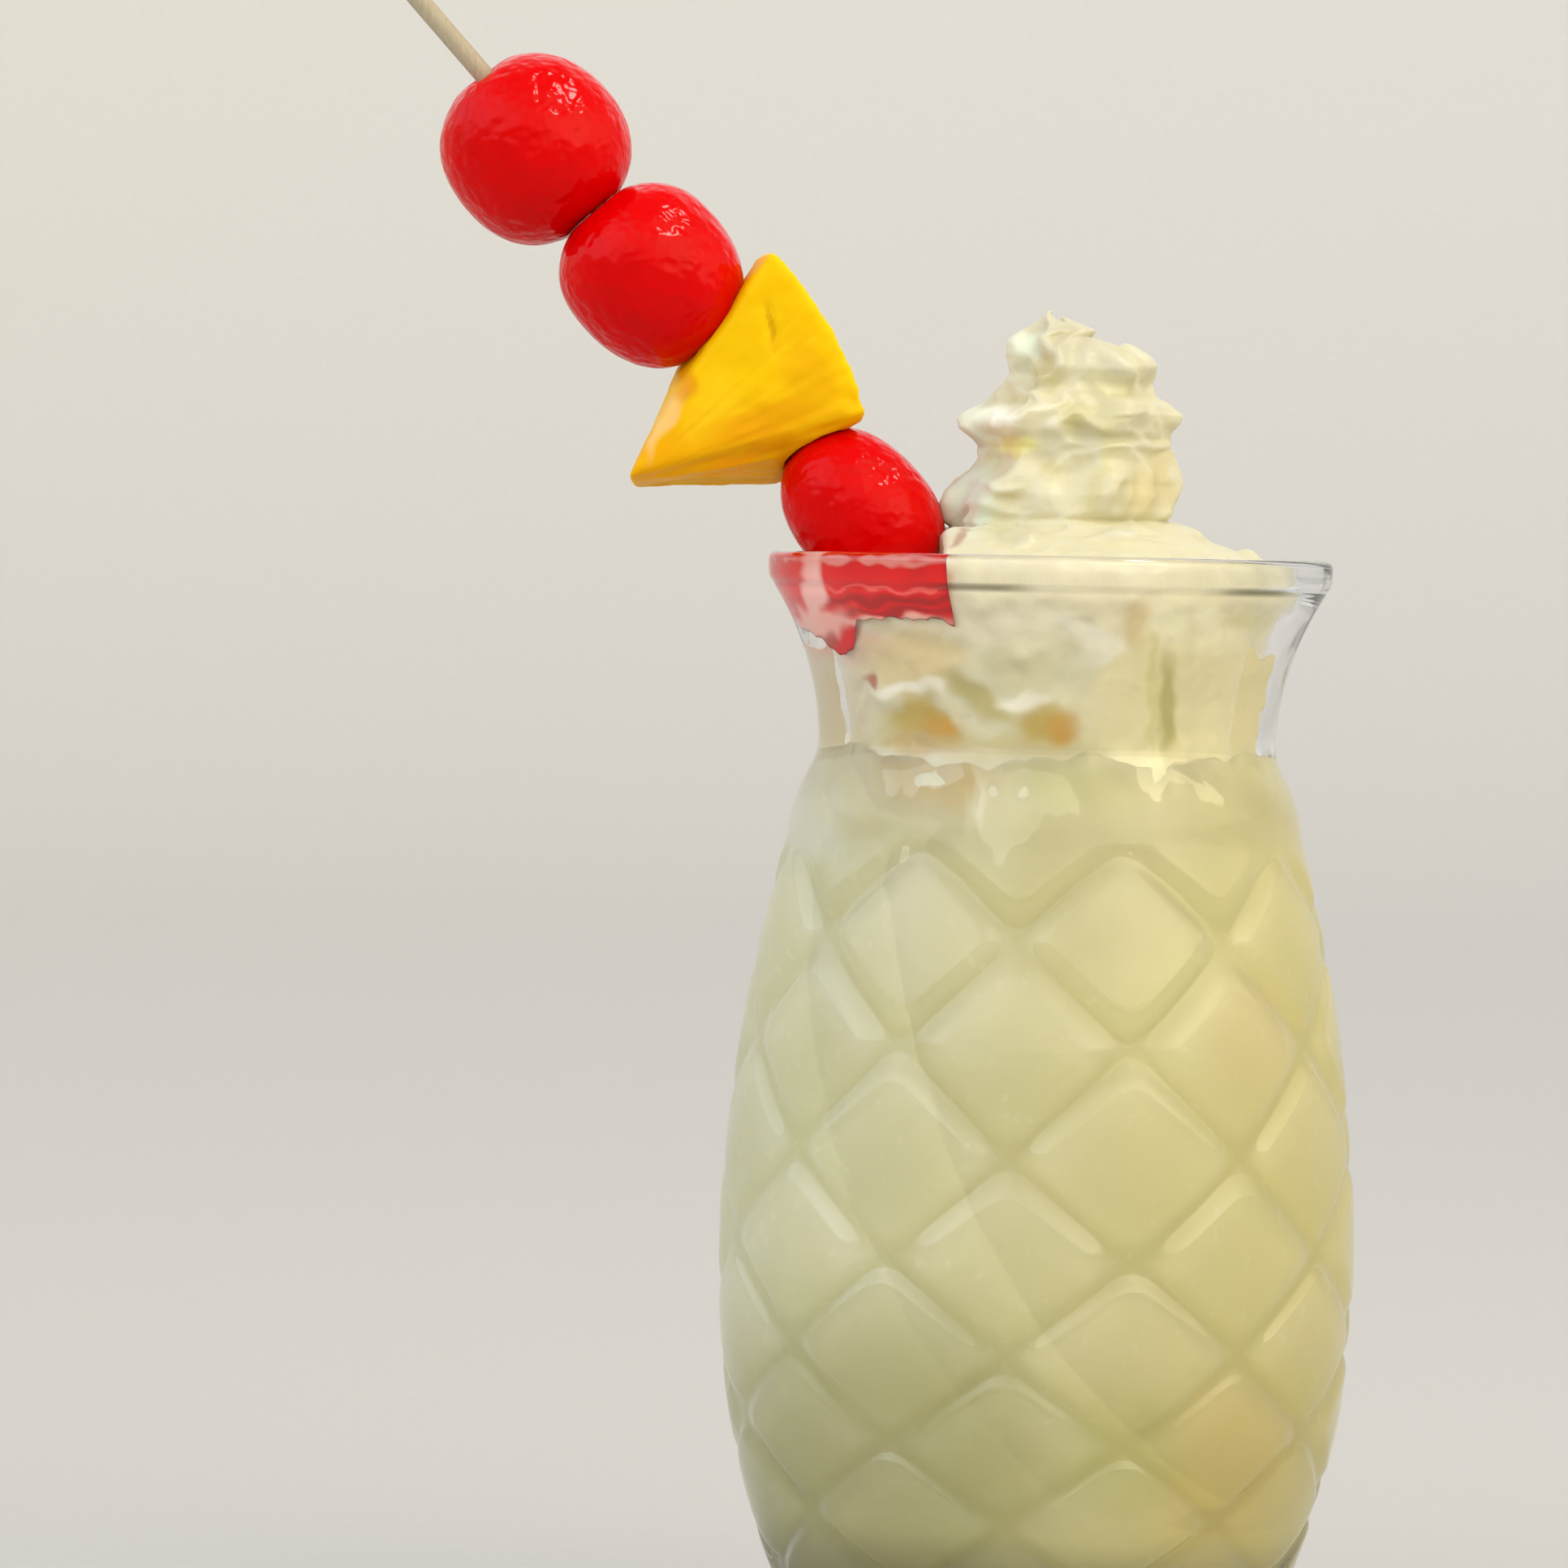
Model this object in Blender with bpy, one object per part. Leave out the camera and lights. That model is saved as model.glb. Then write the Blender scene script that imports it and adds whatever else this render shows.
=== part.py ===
"""Pina colada in a pressed glass shaped like a pineapple.

The glass is filled with a pale creamy drink. A tall swirl of whipped cream stands on it, and a bamboo
skewer with three cherries and a wedge of pineapple leans out to the left.

Metres, +Z up. The origin is the middle of the glass's flat underside, and the skewer leans towards -X.
Depths are measured down from the top of the rim, as the glass shows them.
"""

import math

import bmesh
import bpy
from mathutils import Matrix, Vector

MM = 0.001
GAP = 0.3 * MM
"""Clearance between two pieces that touch."""

# Glass: heights and depths
GLASS_HEIGHT = 143.0 * MM
NECK_DEPTH = 25.2 * MM
COLLAR_DEPTH = 34.9 * MM
BELLY_DEPTH = 88.0 * MM
HEEL_DEPTH = 136.2 * MM
CAVITY_DEPTH = 133.0 * MM
BOWL_HEIGHT = 15.0 * MM
NECK_STEPS = [31.6, 28.2, 25.2, 19.5, 14.5, 10.0, 6.6, 4.4]
CAVITY_STEPS = [4.4, 8.0, 12.5, 18.0, 25.2, 28.6, 32.5, 41.0, 54.0, 70.0, 88.0, 104.0]
BOWL_STEPS = [0, 26, 50, 70, 84]
"""Depths in mm down the neck and the cavity, and degrees round the bowl at the cavity's floor."""

# Glass: radii
LIP_RADIUS = 35.7 * MM
LIP_ROUND = 1.0 * MM
LIP_SIDE = 2.6 * MM
LIP_DEPTH = 4.4 * MM
FLARE_RADIUS = 34.8 * MM
NECK_RADIUS = 28.9 * MM
COLLAR_RADIUS = 32.4 * MM
BELLY_RADIUS = 40.2 * MM
LOWER_DROP = 6.95 * MM
LOWER_REACH = 40.0 * MM
HEEL_STEPS = [(3.6, 2.1), (6.1, 3.6)]
"""How far below the last pads, and how far in from them, the round heel passes, in mm."""
FOOT_RADIUS = 24.5 * MM
WALL = 3.8 * MM

# Glass: curve powers of the flare, the shoulder and the lower body
FLARE_POWER = 2.2
SHOULDER_POWER = 1.83
LOWER_POWER = 2.27

# Diamond pads
PADS_ROUND = 8
PAD_ROWS = [34.9, 46.9, 60.0, 73.2, 85.7, 97.4, 108.4, 118.6, 127.9, 136.2]
"""Depths in mm of the widest line of each row of pads, from the collar to the heel."""
PAD_RELIEF = 0.8 * MM
PAD_CROWN = 0.15 * MM
PAD_STEPS = 4
WIDE_PAD = 0.84
NARROW_PAD = 0.70
CORNER_PULL = 0.90
FADE_ROWS = 0.4
FIRST_PAD_ANGLE = math.radians(17.3)

# Drink
DRINK_DEPTH = 23.0 * MM
DRINK_COLUMNS = 40

# Whipped cream: height above the rim, radius over the ridges, sideways place and depth of the
# hollows between ridges, all in mm
CREAM_TIERS = [
    (-0.9, 31.0, 0.0, 0.0),
    (1.0, 25.6, 0.5, 0.6),
    (2.7, 18.6, 1.0, 1.2),
    (4.0, 15.0, 1.3, 1.3),
    (6.0, 14.7, 1.5, 1.6),
    (8.0, 15.6, 1.5, 2.3),
    (10.0, 15.7, 1.6, 2.6),
    (11.8, 14.9, 1.8, 2.0),
    (13.6, 13.4, 2.0, 1.2),
    (15.2, 13.2, 2.1, 1.3),
    (16.8, 14.6, 2.2, 2.3),
    (18.2, 14.8, 2.3, 2.7),
    (19.8, 12.9, 2.6, 1.9),
    (21.4, 10.7, 3.0, 1.2),
    (22.8, 10.0, 3.4, 1.2),
    (24.4, 10.4, 3.4, 1.8),
    (26.0, 9.9, 3.1, 2.0),
    (27.6, 7.8, 2.3, 1.6),
    (29.0, 4.9, 1.1, 0.9),
    (30.2, 2.3, 0.1, 0.3),
    (31.1, 0.7, -0.4, 0.0),
]
CREAM_STEPS = [18.0, 12.5, 8.0, 4.4, 1.6]
"""Depths in mm of the rings that follow the neck."""
CREAM_COLUMNS = 48
RIDGES = 6
RIDGE_SHARPNESS = 0.25
RIDGE_TWIST = math.radians(1.0)
"""Turn of the ridges for each millimetre of height over the middle tier."""
MIDDLE_TIER = 17.3
CREAM_DRIFT = 0.5
"""Uneven swelling in mm, three times round, that turns with the height."""
CREAM_LEAN = 0.1
LOW_TIER = 8.0
LEAN_CHANGE = 17.0
"""The low tier rises to the right, and the tier this many mm higher rises to the left."""
CREAM_SAG = 6.8 * MM
"""How far the cream lies below the rim in front of the lowest cherry."""
SAG_EDGE = -12.8 * MM
SAG_BACK = 2.6 * MM
SAG_TOP = 4.4 * MM

# Skewer: it lies in one upright plane, and distances along it run up from the lowest cherry's middle
SKEWER_RADIUS = 1.25 * MM
SKEWER_TOP = 100.4 * MM
SKEWER_END = -49.6 * MM
SKEWER_POINT = 7.0 * MM
SKEWER_LEAN = math.radians(42.0)
SKEWER_SIDES = 12
LOW_CHERRY_PLACE = Vector((-23.6 * MM, -2.0 * MM, GLASS_HEIGHT + 4.6 * MM))

# Cherries: places along the skewer, to its right and behind it, radius, reach upwards, reach
# downwards, and radius of the flat at the upper and lower ends where a neighbour presses, in mm
CHERRIES = {
    "cherry_lower": (0.0, 0.0, 0.0, 8.8, 12.0, 11.0, 2.5, 0.0),
    "cherry_middle": (42.0, -0.5, 0.0, 10.9, 9.8, 13.3, 4.6, 0.0),
    "cherry_top": (62.3, -1.2, 2.0, 11.7, 12.0, 11.5, 0.0, 4.6),
}
CHERRY_COLUMNS = 20
CHERRY_ROWS = 9
CHERRY_POWER = 2.25
DIMPLE = 0.5 * MM
DIMPLE_RADIUS = 2.2 * MM

# Pineapple wedge: corners of three level slices as (along the skewer, across it) in mm, from the top
# corner over the right corner and the underside to the tip and the side against the cherry. Each
# slice goes with how far it lies behind the skewer, in mm
WEDGE_SLICES = [
    (-6.0, [(32.7, 13.3), (9.3, 8.8), (15.2, -2.1), (23.2, -19.4), (27.4, -6.5)]),
    (-3.0, [(33.1, 12.8), (8.9, 8.2), (12.0, -3.5), (22.6, -20.0), (28.6, -6.2)]),
    (6.0, [(33.9, 11.5), (11.0, 7.0), (10.1, -6.1), (22.3, -20.2), (30.0, -6.0)]),
]
WEDGE_BULGE = 1.5 * MM
WEDGE_ARC_STEPS = 6
WEDGE_ROUND = 0.9 * MM
WEDGE_ROOM = 0.45 * MM
"""Clearance round the wedge, whose faces are slightly twisted."""


def material(name, colour, roughness, transmission=0.0):
    """A Principled material in one plain colour."""
    made = bpy.data.materials.get(name) or bpy.data.materials.new(name)
    made.use_nodes = True
    shader = made.node_tree.nodes["Principled BSDF"]
    shader.inputs["Base Color"].default_value = (*colour, 1.0)
    shader.inputs["Roughness"].default_value = roughness
    shader.inputs["Metallic"].default_value = 0.0
    shader.inputs["Transmission Weight"].default_value = transmission
    return made


def object_from(bm, name, look):
    """A scene object from a bmesh, with its faces pointing out and smooth shading on round stretches."""
    bmesh.ops.recalc_face_normals(bm, faces=bm.faces)
    mesh = bpy.data.meshes.new(name)
    bm.to_mesh(mesh)
    bm.free()
    mesh.shade_smooth()
    mesh.set_sharp_from_angle(angle=math.radians(40.0))
    made = bpy.data.objects.new(name, mesh)
    if look is not None:
        made.data.materials.append(look)
    bpy.context.scene.collection.objects.link(made)
    return made


def cut(piece, cutter):
    """Cuts one object from another and removes the cutter."""
    cutter.hide_render = True
    cutter.display_type = "WIRE"
    modifier = piece.modifiers.new("cut", "BOOLEAN")
    modifier.operation = "DIFFERENCE"
    modifier.solver = "EXACT"
    modifier.object = cutter
    graph = bpy.context.evaluated_depsgraph_get()
    mesh = bpy.data.meshes.new_from_object(piece.evaluated_get(graph))
    piece.modifiers.clear()
    piece.data = mesh
    bpy.data.objects.remove(cutter)


def stack(rings, name, look):
    """A closed solid through rings of points with equal counts, flat at both ends."""
    bm = bmesh.new()
    rows = [[bm.verts.new(point) for point in ring] for ring in rings]
    count = len(rows[0])
    for lower, upper in zip(rows, rows[1:]):
        for i in range(count):
            j = (i + 1) % count
            bm.faces.new((lower[i], lower[j], upper[j], upper[i]))
    bmesh.ops.triangulate(bm, faces=bm.faces[:])
    bm.faces.new(reversed(rows[0]))
    bm.faces.new(rows[-1])
    return object_from(bm, name, look)


def circle(radius, height, columns, middle=(0.0, 0.0)):
    """Points of a level circle."""
    step = math.tau / columns
    return [
        Vector((middle[0] + radius * math.cos(i * step), middle[1] + radius * math.sin(i * step), height))
        for i in range(columns)
    ]


# Glass


def flare_radius(depth):
    """Outer radius between the lip and the neck."""
    share = (NECK_DEPTH - depth) / (NECK_DEPTH - LIP_DEPTH)
    return NECK_RADIUS + (FLARE_RADIUS - NECK_RADIUS) * max(share, 0.0) ** FLARE_POWER


def collar_radius(depth):
    """Outer radius between the neck and the first pads, swelling quickly and then easing off."""
    share = (depth - NECK_DEPTH) / (COLLAR_DEPTH - NECK_DEPTH)
    return NECK_RADIUS + (COLLAR_RADIUS - NECK_RADIUS) * math.sin(share * math.pi / 2)


def body_radius(depth):
    """Outer radius over the pads, from the collar to the heel."""
    if depth < BELLY_DEPTH:
        share = (BELLY_DEPTH - depth) / (BELLY_DEPTH - COLLAR_DEPTH)
        return BELLY_RADIUS - (BELLY_RADIUS - COLLAR_RADIUS) * share**SHOULDER_POWER
    return BELLY_RADIUS - LOWER_DROP * ((depth - BELLY_DEPTH) / LOWER_REACH) ** LOWER_POWER


def outer_radius(depth):
    """Outer radius of the glass at any depth below its lip."""
    if depth < NECK_DEPTH:
        return flare_radius(depth)
    if depth < COLLAR_DEPTH:
        return collar_radius(depth)
    return body_radius(depth)


def lip_outline():
    """(depth, radius) over the lip, from its outer side to its inner side."""
    outer = LIP_RADIUS - LIP_ROUND
    inner = LIP_RADIUS - WALL + LIP_ROUND
    outline = [(LIP_SIDE, LIP_RADIUS)]
    for quarter, middle in ((0, outer), (1, inner)):
        for step in range(3):
            angle = math.radians(45.0 * step) + quarter * math.pi / 2
            outline.append((LIP_ROUND * (1.0 - math.sin(angle)), middle + LIP_ROUND * math.cos(angle)))
    return outline


def cavity_outline(inset=0.0):
    """(depth, radius) down the inside of the glass, moved inwards by the inset."""
    wall = WALL + inset
    floor = CAVITY_DEPTH - inset
    bowl_top = CAVITY_DEPTH - BOWL_HEIGHT
    outline = [(depth * MM, outer_radius(depth * MM) - wall) for depth in CAVITY_STEPS]
    bowl_radius = outer_radius(bowl_top) - wall
    for degrees in BOWL_STEPS:
        angle = math.radians(degrees)
        depth = bowl_top + (floor - bowl_top) * math.sin(angle)
        outline.append((depth, bowl_radius * math.cos(angle)))
    return outline


def neck_outline():
    """(depth, radius) from the first pads up the neck, over the lip and down inside."""
    outline = [(depth * MM, outer_radius(depth * MM)) for depth in NECK_STEPS]
    return outline + lip_outline() + cavity_outline()


def base_outline():
    """(depth, radius) from the last pads round the heel to the flat underside."""
    heel = body_radius(HEEL_DEPTH)
    outline = [(HEEL_DEPTH + down * MM, heel - inward * MM) for down, inward in HEEL_STEPS]
    return outline + [(GLASS_HEIGHT, FOOT_RADIUS)]


def pad_depth(row):
    """Depth at a place counted in rows of pads, through the rows' widest lines."""
    low = min(max(int(math.floor(row)), 0), len(PAD_ROWS) - 2)
    share = row - low
    return (PAD_ROWS[low] * (1.0 - share) + PAD_ROWS[low + 1] * share) * MM


def add_pad(bm, column, row, size):
    """One raised pad on the flat sheet: x counts pads round the glass, y counts rows, z is relief."""
    last = PAD_STEPS

    def place(i, j, share):
        s = (i / last - 0.5) * share
        t = (j / last - 0.5) * share
        return column + (s - t) / 2, row + s + t

    rim = {}
    top = {}
    for i in range(last + 1):
        for j in range(last + 1):
            at_edge = i in (0, last) or j in (0, last)
            at_corner = i in (0, last) and j in (0, last)
            x, y = place(i, j, size * CORNER_PULL if at_corner else size)
            crown = 0.0 if at_edge else PAD_CROWN
            top[i, j] = bm.verts.new((x, y, crown))
            if at_edge:
                x, y = place(i, j, 1.0)
                rim[i, j] = bm.verts.new((x, y, -PAD_RELIEF))
    for i in range(last):
        for j in range(last):
            bm.faces.new((top[i, j], top[i + 1, j], top[i + 1, j + 1], top[i, j + 1]))
    around = [(i, 0) for i in range(last)] + [(last, j) for j in range(last)]
    around += [(i, last) for i in range(last, 0, -1)] + [(0, j) for j in range(last, 0, -1)]
    for a, b in zip(around, around[1:] + around[:1]):
        bm.faces.new((rim[a], rim[b], top[b], top[a]))


def pad_sheet():
    """The flat sheet of pads, trimmed along its first and last rows."""
    bm = bmesh.new()
    last_row = len(PAD_ROWS) - 1
    for row in range(last_row + 1):
        wide = row % 2 == 1
        for column in range(PADS_ROUND):
            x = column + (0.0 if wide else 0.5)
            add_pad(bm, x, row, WIDE_PAD if wide else NARROW_PAD)
    for limit, side in ((0.0, -1.0), (float(last_row), 1.0)):
        bmesh.ops.bisect_plane(
            bm,
            geom=bm.verts[:] + bm.edges[:] + bm.faces[:],
            dist=1e-5,
            plane_co=(0.0, limit, 0.0),
            plane_no=(0.0, side, 0.0),
            clear_outer=True,
        )
    bmesh.ops.remove_doubles(bm, verts=bm.verts, dist=1e-5)
    for vertex in bm.verts:
        inside = min(vertex.co.y, last_row - vertex.co.y)
        vertex.co.z *= min(inside / FADE_ROWS, 1.0)
    return bm


def wrap(bm, place_of):
    """Bends the flat sheet round the glass and closes its seam."""
    for vertex in bm.verts:
        x, y, relief = vertex.co
        angle = FIRST_PAD_ANGLE + x * math.tau / PADS_ROUND
        depth, radius = place_of(y)
        radius += relief
        vertex.co = (radius * math.sin(angle), -radius * math.cos(angle), GLASS_HEIGHT - depth)
    bmesh.ops.remove_doubles(bm, verts=bm.verts, dist=1e-6)


def make_glass():
    """The glass: pads wrapped round the body, a smooth flared neck, a smooth cavity and a flat underside."""
    bm = pad_sheet()
    last_row = len(PAD_ROWS) - 1
    rings = {-1 - i: place for i, place in enumerate(neck_outline())}
    rings.update({last_row + 1 + i: place for i, place in enumerate(base_outline())})
    for start, step in ((0, -1), (last_row, 1)):
        edges = [
            edge for edge in bm.edges
            if edge.is_boundary and all(abs(vertex.co.y - start) < 1e-4 for vertex in edge.verts)
        ]
        row = start + step
        while row in rings:
            grown = bmesh.ops.extrude_edge_only(bm, edges=edges)["geom"]
            for vertex in grown:
                if isinstance(vertex, bmesh.types.BMVert):
                    vertex.co.y = row
            edges = [item for item in grown if isinstance(item, bmesh.types.BMEdge)]
            row += step

    def place_of(row):
        nearest = round(row)
        if nearest in rings and abs(row - nearest) < 1e-4:
            return rings[nearest]
        depth = pad_depth(row)
        return depth, body_radius(depth)

    wrap(bm, place_of)
    bmesh.ops.holes_fill(bm, edges=[edge for edge in bm.edges if edge.is_boundary], sides=0)
    bmesh.ops.triangulate(bm, faces=[f for f in bm.faces if len(f.verts) == 4], quad_method="SHORT_EDGE")
    return object_from(bm, "glass", material("clear_glass", (0.93, 0.95, 0.92), 0.03, 0.95))


# Drink and cream


def make_drink():
    """The drink fills the cavity up to the cream, with a channel for the skewer."""
    outline = [place for place in cavity_outline(GAP) if place[0] > DRINK_DEPTH]
    outline.insert(0, (DRINK_DEPTH, outer_radius(DRINK_DEPTH) - WALL - GAP))
    rings = [circle(radius, GLASS_HEIGHT - depth, DRINK_COLUMNS) for depth, radius in reversed(outline)]
    drink = stack(rings, "drink", material("creamy_drink", (0.58, 0.55, 0.25), 0.35))
    cut(drink, make_skewer("skewer_channel", GAP))
    return drink


def cream_ring(height, radius, middle, hollow):
    """One level ring of the swirl, with its ridges turned by its height."""
    points = []
    for i in range(CREAM_COLUMNS):
        angle = i * math.tau / CREAM_COLUMNS
        turn = RIDGES * (angle - RIDGE_TWIST * (height - MIDDLE_TIER))
        ridge = math.cos(turn) + RIDGE_SHARPNESS * (math.cos(2.0 * turn) - 1.0)
        drift = CREAM_DRIFT * min(hollow, 1.0) * math.cos(3.0 * angle + height)
        reach = radius - hollow * (1.0 - ridge) / 2.0 + drift
        place = Vector((middle + reach * math.cos(angle), reach * math.sin(angle), height))
        place.z += place.x * CREAM_LEAN * math.cos(math.pi * (height - LOW_TIER) / LEAN_CHANGE)
        points.append(place * MM + Vector((0.0, 0.0, GLASS_HEIGHT)))
    return points


def make_cream():
    """Whipped cream: a plug in the neck, a shelf level with the rim, and a ridged swirl in three tiers."""
    rings = []
    for depth in [DRINK_DEPTH - GAP] + [step * MM for step in CREAM_STEPS]:
        radius = outer_radius(max(depth, LIP_DEPTH)) - WALL - GAP
        rings.append(circle(radius, GLASS_HEIGHT - depth, CREAM_COLUMNS))
    rings += [cream_ring(*tier) for tier in CREAM_TIERS]
    cream = stack(rings, "whipped_cream", material("whipped_cream", (0.79, 0.70, 0.45), 0.5))
    cut(cream, make_sag())
    cut(cream, make_cherry("cherry_lower", GAP))
    cut(cream, make_skewer("skewer_channel", GAP))
    return cream


def make_sag():
    """The hollow that the lowest cherry leaves in the cream, open to the front of the glass."""
    bm = bmesh.new()
    bmesh.ops.create_cube(bm, size=1.0)
    low = Vector((-2.0 * LIP_RADIUS, -2.0 * LIP_RADIUS, GLASS_HEIGHT - CREAM_SAG))
    high = Vector((SAG_EDGE, SAG_BACK, GLASS_HEIGHT + SAG_TOP))
    for vertex in bm.verts:
        share = vertex.co + Vector((0.5, 0.5, 0.5))
        vertex.co = [a + (b - a) * s for a, b, s in zip(low, high, share)]
    return object_from(bm, "sag", None)


# Skewer and what is on it


def skewer_frame(along):
    """Turns a piece made upright on +Z so that it stands on the skewer at a distance along it."""
    place = LOW_CHERRY_PLACE + skewer_axis() * along
    return Matrix.Translation(place) @ Matrix.Rotation(-SKEWER_LEAN, 4, "Y")


def skewer_axis():
    """Unit vector up along the skewer."""
    return Vector((-math.sin(SKEWER_LEAN), 0.0, math.cos(SKEWER_LEAN)))


def make_skewer(name, clearance=0.0):
    """A round bamboo skewer, pointed at its lower end and cut square at the other."""
    radius = SKEWER_RADIUS + clearance
    tip = SKEWER_END - clearance
    outline = [
        (tip, 0.15 * MM + clearance),
        (SKEWER_END + SKEWER_POINT, radius),
        (SKEWER_TOP - 0.3 * MM + clearance, radius),
        (SKEWER_TOP + clearance, radius - 0.3 * MM),
    ]
    rings = [circle(size, height, SKEWER_SIDES) for height, size in outline]
    skewer = stack(rings, name, material("bamboo", (0.55, 0.47, 0.28), 0.6))
    skewer.data.transform(skewer_frame(0.0))
    return skewer


def cherry_outline(radius, above, below, flat_above, flat_below):
    """(height, radius) of a cherry from its lower end to its upper one."""
    end = [math.acos((flat / radius) ** (CHERRY_POWER / 2.0)) for flat in (flat_below, flat_above)]
    outline = []
    for i in range(CHERRY_ROWS + 1):
        share = i / CHERRY_ROWS
        angle = end[1] * share - end[0] * (1.0 - share)
        reach = above if angle > 0 else below
        rise = math.copysign(abs(math.sin(angle)) ** (2.0 / CHERRY_POWER), angle)
        outline.append((rise * reach, radius * math.cos(angle) ** (2.0 / CHERRY_POWER)))
    return outline


def make_cherry(name, clearance=0.0):
    """A cherry threaded on the skewer. With a clearance it is the solid that makes room for the cherry."""
    along, across, behind, *sizes = [size * MM for size in CHERRIES[name]]
    outline = cherry_outline(*[size + clearance for size in sizes])
    rings = [circle(size, height, CHERRY_COLUMNS) for height, size in outline]
    for end, flat, inwards in ((0, sizes[4], DIMPLE), (-1, sizes[3], -DIMPLE)):
        if not flat:
            height = outline[end][0] + inwards
            rings[end] = circle(DIMPLE_RADIUS, height, CHERRY_COLUMNS, (-across, -behind))
    cherry = stack(rings, name, material(name + "_flesh", (0.68, 0.002, 0.003), 0.12))
    cherry.data.transform(skewer_frame(along) @ Matrix.Translation((across, behind, 0.0)))
    if not clearance:
        cut(cherry, make_skewer("skewer_channel", GAP))
    return cherry


def wedge_slice(corners):
    """(along, across) points round one slice of the wedge, with its round outer side in short steps."""
    top, right, *rest = [Vector(corner) * MM for corner in corners]
    chord = right - top
    outward = Vector((chord.y, -chord.x)).normalized()
    points = []
    for i in range(WEDGE_ARC_STEPS + 1):
        share = i / WEDGE_ARC_STEPS
        points.append(top + chord * share + outward * WEDGE_BULGE * 4.0 * share * (1.0 - share))
    return points + rest


def make_wedge(name, clearance=0.0):
    """A wedge of pineapple. With a clearance it is the solid that makes room for the wedge."""
    bm = bmesh.new()
    rows = []
    for behind, corners in WEDGE_SLICES:
        points = wedge_slice(corners)
        rows.append([bm.verts.new((point.y, behind * MM, point.x)) for point in points])
    count = len(rows[0])
    for front, back in zip(rows, rows[1:]):
        for i in range(count):
            j = (i + 1) % count
            bm.faces.new((front[i], front[j], back[j], back[i]))
    bm.faces.new(rows[0])
    bm.faces.new(rows[-1])
    bmesh.ops.recalc_face_normals(bm, faces=bm.faces)
    bm.normal_update()
    grown = [vertex.co + vertex.normal * vertex.calc_shell_factor() * clearance for vertex in bm.verts]
    for vertex, place in zip(bm.verts, grown):
        vertex.co = place
    wedge = object_from(bm, name, material("pineapple_flesh", (0.91, 0.48, 0.003), 0.35))
    wedge.data.transform(skewer_frame(0.0))
    if clearance:
        return wedge
    rounding = wedge.modifiers.new("rounding", "BEVEL")
    rounding.width = WEDGE_ROUND
    rounding.segments = 2
    rounding.limit_method = "ANGLE"
    rounding.angle_limit = math.radians(30.0)
    cut(wedge, make_skewer("skewer_channel", GAP))
    cut(wedge, make_cherry("cherry_lower", GAP))
    return wedge


def main():
    for item in list(bpy.data.objects):
        bpy.data.objects.remove(item)
    make_glass()
    make_drink()
    make_cream()
    make_skewer("skewer")
    for name in CHERRIES:
        cherry = make_cherry(name)
        if name == "cherry_middle":
            cut(cherry, make_wedge("wedge_room", WEDGE_ROOM))
    make_wedge("pineapple_wedge")


main()
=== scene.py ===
"""A pina colada in its pressed glass, dressed for a studio picture.

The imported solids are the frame. Each piece here stands for one of them, in the same place and with the
same form, but for the thin film of syrup, which is made here alone. Outlines and places are in
millimetres, and MM turns them to metres as they reach a mesh.
"""

import math

import bpy
from mathutils import Matrix, Vector, noise


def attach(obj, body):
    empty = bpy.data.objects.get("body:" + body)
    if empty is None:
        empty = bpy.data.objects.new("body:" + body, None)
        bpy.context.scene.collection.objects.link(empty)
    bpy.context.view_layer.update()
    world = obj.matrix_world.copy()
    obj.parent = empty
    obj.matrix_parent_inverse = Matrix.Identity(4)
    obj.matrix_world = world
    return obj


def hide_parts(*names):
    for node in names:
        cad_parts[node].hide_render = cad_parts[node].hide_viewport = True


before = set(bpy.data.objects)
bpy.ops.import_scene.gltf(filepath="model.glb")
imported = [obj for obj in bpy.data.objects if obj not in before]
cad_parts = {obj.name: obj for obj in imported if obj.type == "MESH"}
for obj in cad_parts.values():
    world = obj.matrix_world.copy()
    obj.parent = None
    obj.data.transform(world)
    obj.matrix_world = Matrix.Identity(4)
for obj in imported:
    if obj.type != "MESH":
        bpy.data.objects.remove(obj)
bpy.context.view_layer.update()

MM = 0.001

# Glass: depths below the rim and outer radii; its curves go by depth, and by radius or step inwards
GLASS_HEIGHT = 143.0
NECK_DEPTH = 25.2
COLLAR_DEPTH = 34.9
BELLY_DEPTH = 88.0
HEEL_DEPTH = 136.2
CAVITY_DEPTH = 133.0
BOWL_HEIGHT = 15.0
LIP_RADIUS = 35.7
LIP_ROUND = 1.0
LIP_DEPTH = 4.4
LIP_CURVE = [
    (4.15, 34.9),
    (3.9, 35.05),
    (3.65, 35.22),
    (3.4, 35.4),
    (3.1, 35.52),
    (2.8, 35.62),
    (2.1, LIP_RADIUS),
    (1.5, LIP_RADIUS),
]
INSIDE_LIP = [(1.8, 0.1), (3.0, 0.4)]
FLARE_RADIUS = 34.8
NECK_RADIUS = 28.9
COLLAR_RADIUS = 32.4
BELLY_RADIUS = 40.2
LOWER_DROP = 6.95
LOWER_REACH = 40.0
FOOT_RADIUS = 24.5
HEEL_CURVE = [(HEEL_DEPTH, 0.0), (138.0, 0.9), (139.8, 2.1), (141.2, 3.5), (142.2, 5.2), (142.8, 7.0)]
FOOT_CURVE = [
    (GLASS_HEIGHT, FOOT_RADIUS),
    (GLASS_HEIGHT, 22.5),
    (142.9, 21.5),
    (142.5, 20.0),
    (142.3, 17.0),
    (142.2, 10.0),
    (142.2, 0.0),
]
WALL = 3.8
FLARE_POWER = 2.2
SHOULDER_POWER = 1.83
LOWER_POWER = 2.27
CREASE_SHIFTS = (-1.6, -0.8, 0.0, 0.8, 1.6)

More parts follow.
